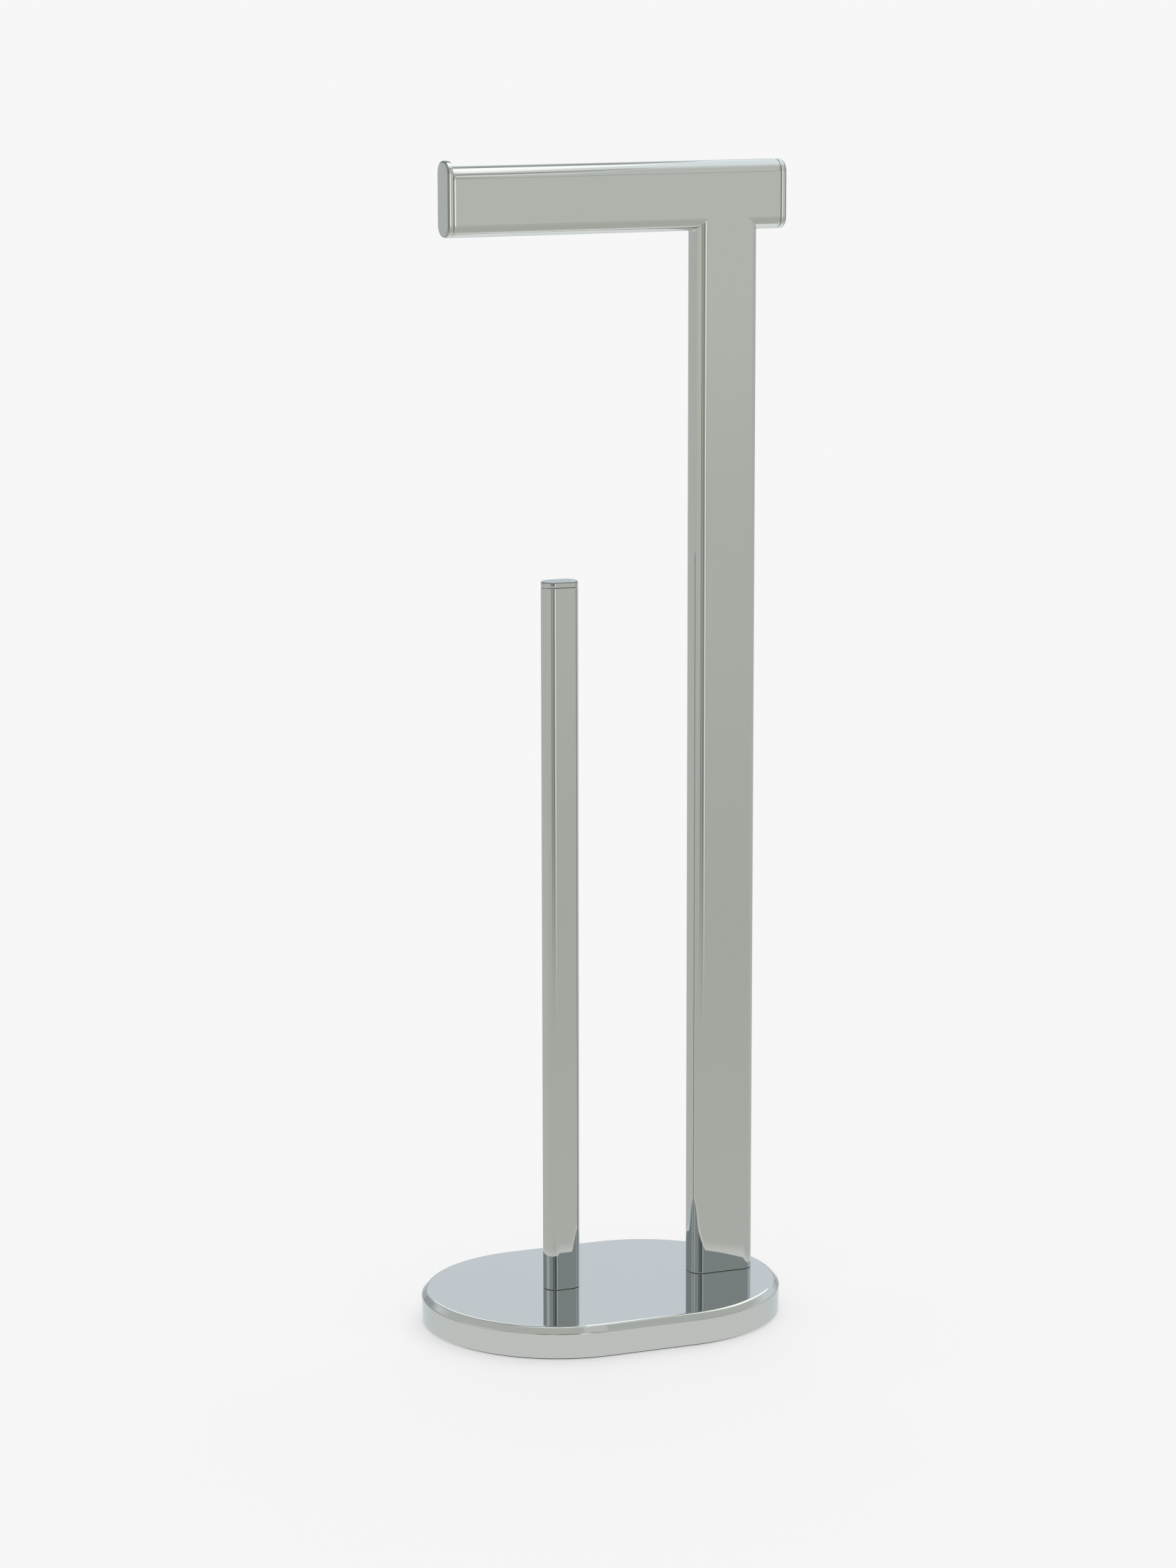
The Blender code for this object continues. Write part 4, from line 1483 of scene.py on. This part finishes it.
    def walls(self, tree: Tree, parts: Any) -> bpy.types.NodeSocket:
        """Paint the walls, with the light for the base's rim.

        Args:
            tree: The world's tree.
            parts: The direction's three parts.

        Returns:
            Their colour.
        """
        low, high = self.walls_meet
        meet = {"Value": parts["Y"], "From Min": low, "From Max": high}
        behind = add_node(tree, "ShaderNodeMapRange", meet, interpolation_type="SMOOTHSTEP")
        front = self.shades(tree, parts["Z"], self.front_wall)
        back = self.shades(tree, parts["Z"], self.back_wall)
        lit = 1.0
        for axis, stops in self.rim_reach:
            both = {0: lit, 1: self.shades(tree, parts[axis], stops)}
            lit = add_node(tree, "ShaderNodeMath", both, operation="MULTIPLY")
        rim = {SHARE: lit, FROM: back, TO: self.colour(self.rim_light)}
        back = add_node(tree, "ShaderNodeMix", rim, data_type="RGBA").outputs[BLEND]
        round_all = {SHARE: behind, FROM: front, TO: back}
        return add_node(tree, "ShaderNodeMix", round_all, data_type="RGBA").outputs[BLEND]

    def uprights(
        self, tree: Tree, direction: bpy.types.NodeSocket, parts: Any
    ) -> bpy.types.NodeSocket:
        """Stand upright flags and thin lights round the camera.

        Args:
            tree: The world's tree.
            direction: Where the chrome looks.
            parts: The direction's three parts.

        Returns:
            What they leave of the walls' shade.
        """
        ahead = Vector((self.eye[0], self.eye[1], 0)).normalized()
        sides = []
        for axis in (Vector((-ahead.y, ahead.x, 0)), ahead):
            reach = {0: direction, 1: axis}
            along = add_node(tree, "ShaderNodeVectorMath", reach, operation="DOT_PRODUCT")
            sides.append(along.outputs["Value"])
        bearing = add_node(tree, "ShaderNodeMath", dict(enumerate(sides)), operation="ARCTAN2")
        rows = []
        for column in (1, 2):
            stops = [(math.radians(row[0]), row[column]) for row in self.flags]
            rows.append(self.shades(tree, bearing.outputs[0], stops))
        begin, full = self.high_flags_begin
        rise = {"Value": parts["Z"], "From Min": begin, "From Max": full}
        over = add_node(tree, "ShaderNodeMapRange", rise, interpolation_type="SMOOTHSTEP")
        levels = {SHARE: over, FROM: rows[0], TO: rows[1]}
        flags = add_node(tree, "ShaderNodeMix", levels, data_type="RGBA").outputs[BLEND]
        gaps = self.shades(tree, parts["Z"], self.flag_gaps)
        strips = {SHARE: gaps, FROM: flags, TO: self.colour(1.0)}
        return add_node(tree, "ShaderNodeMix", strips, data_type="RGBA").outputs[BLEND]

    def room(self) -> None:
        """Surround the holder with the room that its chrome shows."""
        world = bpy.data.worlds.new("studio_room")
        world.use_nodes = True
        tree = world.node_tree
        tree.nodes.clear()
        direction = add_node(tree, "ShaderNodeTexCoord").outputs["Generated"]
        parts = add_node(tree, "ShaderNodeSeparateXYZ", {0: direction}).outputs
        layers = {0: self.walls(tree, parts), 1: self.uprights(tree, direction, parts)}
        seen = add_node(tree, "ShaderNodeVectorMath", layers, operation="MULTIPLY")
        kinds = {
            "shown": {"Color": linear(self.background), "Strength": 1.0},
            "mirrored": {"Color": seen, "Strength": self.brightest**2},
            "lit": {"Color": (1, 1, 1, 1), "Strength": self.sky},
        }
        light = {name: add_node(tree, "ShaderNodeBackground", kinds[name]) for name in kinds}
        rays = add_node(tree, "ShaderNodeLightPath").outputs
        soft = {0: rays["Is Glossy Ray"], 1: light["lit"], 2: light["mirrored"]}
        soft = add_node(tree, "ShaderNodeMixShader", soft)
        clear = {0: rays["Is Camera Ray"], 1: rays["Is Transmission Ray"]}
        looked = add_node(tree, "ShaderNodeMath", clear, operation="MAXIMUM")
        last = add_node(tree, "ShaderNodeMixShader", {0: looked, 1: soft, 2: light["shown"]})
        add_node(tree, "ShaderNodeOutputWorld", {"Surface": last})
        bpy.context.scene.world = world

    def floor(self) -> None:
        """Lay the translucent table, lit from below, whose part by the base the chrome sees."""
        material, tree = empty_material("lit_table")
        place = add_node(tree, "ShaderNodeTexCoord").outputs["Object"]
        parts = add_node(tree, "ShaderNodeSeparateXYZ", {0: place}).outputs
        along = add_node(tree, "ShaderNodeMath", {0: parts["X"]}, operation="ABSOLUTE")
        past = {0: along, 1: self.base_reach}
        beyond = {0: add_node(tree, "ShaderNodeMath", past, operation="SUBTRACT"), 1: 0.0}
        beyond = add_node(tree, "ShaderNodeMath", beyond, operation="MAXIMUM")
        off = {0: add_node(tree, "ShaderNodeCombineXYZ", {"X": beyond, "Y": parts["Y"]})}
        away = add_node(tree, "ShaderNodeVectorMath", off, operation="LENGTH").outputs["Value"]
        low, high = (self.base_radius + reach for reach in self.table_seen)
        edge = {"Value": away, "From Min": low, "From Max": high}
        gone = add_node(tree, "ShaderNodeMapRange", edge, interpolation_type="SMOOTHSTEP")

        paper = linear(self.paper)
        top = (*(part * self.table_paint for part in paper[:3]), 1.0)
        plain = add_node(tree, "ShaderNodeBsdfDiffuse", {"Color": top})
        glow = {"Color": paper, "Strength": self.table_glow}
        glow = add_node(tree, "ShaderNodeEmission", glow)
        table = add_node(tree, "ShaderNodeAddShader", {0: plain, 1: glow})
        near = {"Color": paper, "Strength": self.table_mirrored}
        near = add_node(tree, "ShaderNodeEmission", near)
        clear = add_node(tree, "ShaderNodeBsdfTransparent")
        mirrored = add_node(tree, "ShaderNodeMixShader", {0: gone, 1: near, 2: clear})
        glossy = add_node(tree, "ShaderNodeLightPath").outputs["Is Glossy Ray"]
        both = add_node(tree, "ShaderNodeMixShader", {0: glossy, 1: table, 2: mirrored})
        add_node(tree, "ShaderNodeOutputMaterial", {"Surface": both})
        size = self.floor_reach
        corners = ((-size, -size), (size, -size), (size, size), (-size, size))
        self.lay("floor", corners, 0, material)

    def lay(
        self, name: str, corners: Sequence[Sequence[float]], height: float, material: Material
    ) -> bpy.types.Object:
        """Lay one level face in the studio.

        Args:
            name: Its name.
            corners: Its corners' places along X and Y.
            height: Its height.
            material: What it is made of.

        Returns:
            The face's object.
        """
        mesh = bpy.data.meshes.new(name)
        mesh.from_pydata([(*point, height) for point in corners], [], [range(len(corners))])
        mesh.materials.append(material)
        obj = show(name, mesh)
        return obj

    def hang(self, card: Card) -> None:
        """Hang one card.

        Args:
            card: Its name, place and shades.
        """
        material, tree = empty_material(card.name)
        place = add_node(tree, "ShaderNodeTexCoord").outputs["Object"]
        parts = add_node(tree, "ShaderNodeSeparateXYZ", {0: place}).outputs
        shade = self.shades(tree, parts["Y"], card.shades)
        glow = add_node(tree, "ShaderNodeEmission", {"Color": shade, "Strength": self.brightest})
        add_node(tree, "ShaderNodeOutputMaterial", {"Surface": glow})
        obj = self.lay(card.name, card.corners, card.height, material)
        for rays in ("camera", "diffuse", "transmission", "shadow"):
            setattr(obj, f"visible_{rays}", False)

    def daylight(self) -> None:
        """Light the floor softly from behind, so that the shadow falls to the front left."""
        lamp = bpy.data.lights.new("window_light", "SUN")
        lamp.energy = self.sun
        lamp.angle = self.sun_width
        light = show("window_light", lamp)
        light.rotation_euler = self.sun_turn
        light.visible_glossy = False

    def build(self) -> None:
        """Set up the whole studio."""
        self.camera()
        self.room()
        self.floor()
        for card in CARDS:
            self.hang(card)
        self.daylight()
        bpy.context.scene.view_settings.view_transform = "Standard"
        LOG.info("studio: ready")


def main() -> None:
    """Build the holder from the base up, then the studio."""
    chrome = ChromePlate("chrome_on_tube").material()
    flat = ChromePlate("chrome_on_pressing", wave_length=60 * MM, relief=0.02 * MM).material()
    # Painted shade lines round the faces of the lip cap, the end cap and the post cap
    edges = (
        ("X", -83.56 * MM, 0.42 * MM),
        ("X", 98.90 * MM, 0.50 * MM),
        ("Z", 389.62 * MM, 0.30 * MM),
    )
    cast = ChromePlate(
        "chrome_on_casting", wave_length=9 * MM, relief=0.01 * MM, painted_shade_lines=edges
    ).material()
    iron = PaintedIron().material()
    foam = ClosedCellFoam().material()
    steel = MachinedSteel().material()
    zinc = ZincPlate().material()

    base = Base(flat, foam)
    base.cover()
    base.pad()
    dress(["base_ballast"], iron)
    Frame(chrome).build()
    SparePost(chrome).build()
    seam = (-81 * MM, 0.0, ARM_Z)
    EndCap("lip_cap", "arm_lip_cap", cast, Facing.LEFT, seam, lip=3 * MM).build()
    seam = (96.4 * MM, 0.0, ARM_Z)
    EndCap("end_cap", "arm_end_cap", cast, Facing.RIGHT, seam).build()
    seam = (POST_X, 0.0, 387 * MM)
    small = {"tube": POST_TUBE, "face_round": 0.7 * MM}
    EndCap("post_cap", "spare_post_cap", cast, Facing.UP, seam, **small).build()
    for side, x in SCREW_X.items():
        screw = Fixing(f"base_screw_{side}", f"upright_screw_{side}", zinc, x, bearing_z=7.4 * MM)
        screw.build()
    m5 = {"thread": 5 * MM, "pitch": 0.8 * MM, "head": 9.5 * MM, "head_height": 2.8 * MM}
    m5 |= {"socket": 3 * MM, "washer": 9.2 * MM, "washer_thickness": 1.2 * MM}
    Fixing("post_screw", "spare_post_screw", zinc, POST_X, bearing_z=8.2 * MM, **m5).build()
    dress(["upright_foot_block", "spare_post_foot_block"], steel)
    washers = ["upright_flat_washer_left", "upright_flat_washer_right", "spare_post_flat_washer"]
    dress(washers, zinc)
    Studio().build()


if __name__ == "__main__":
    main()
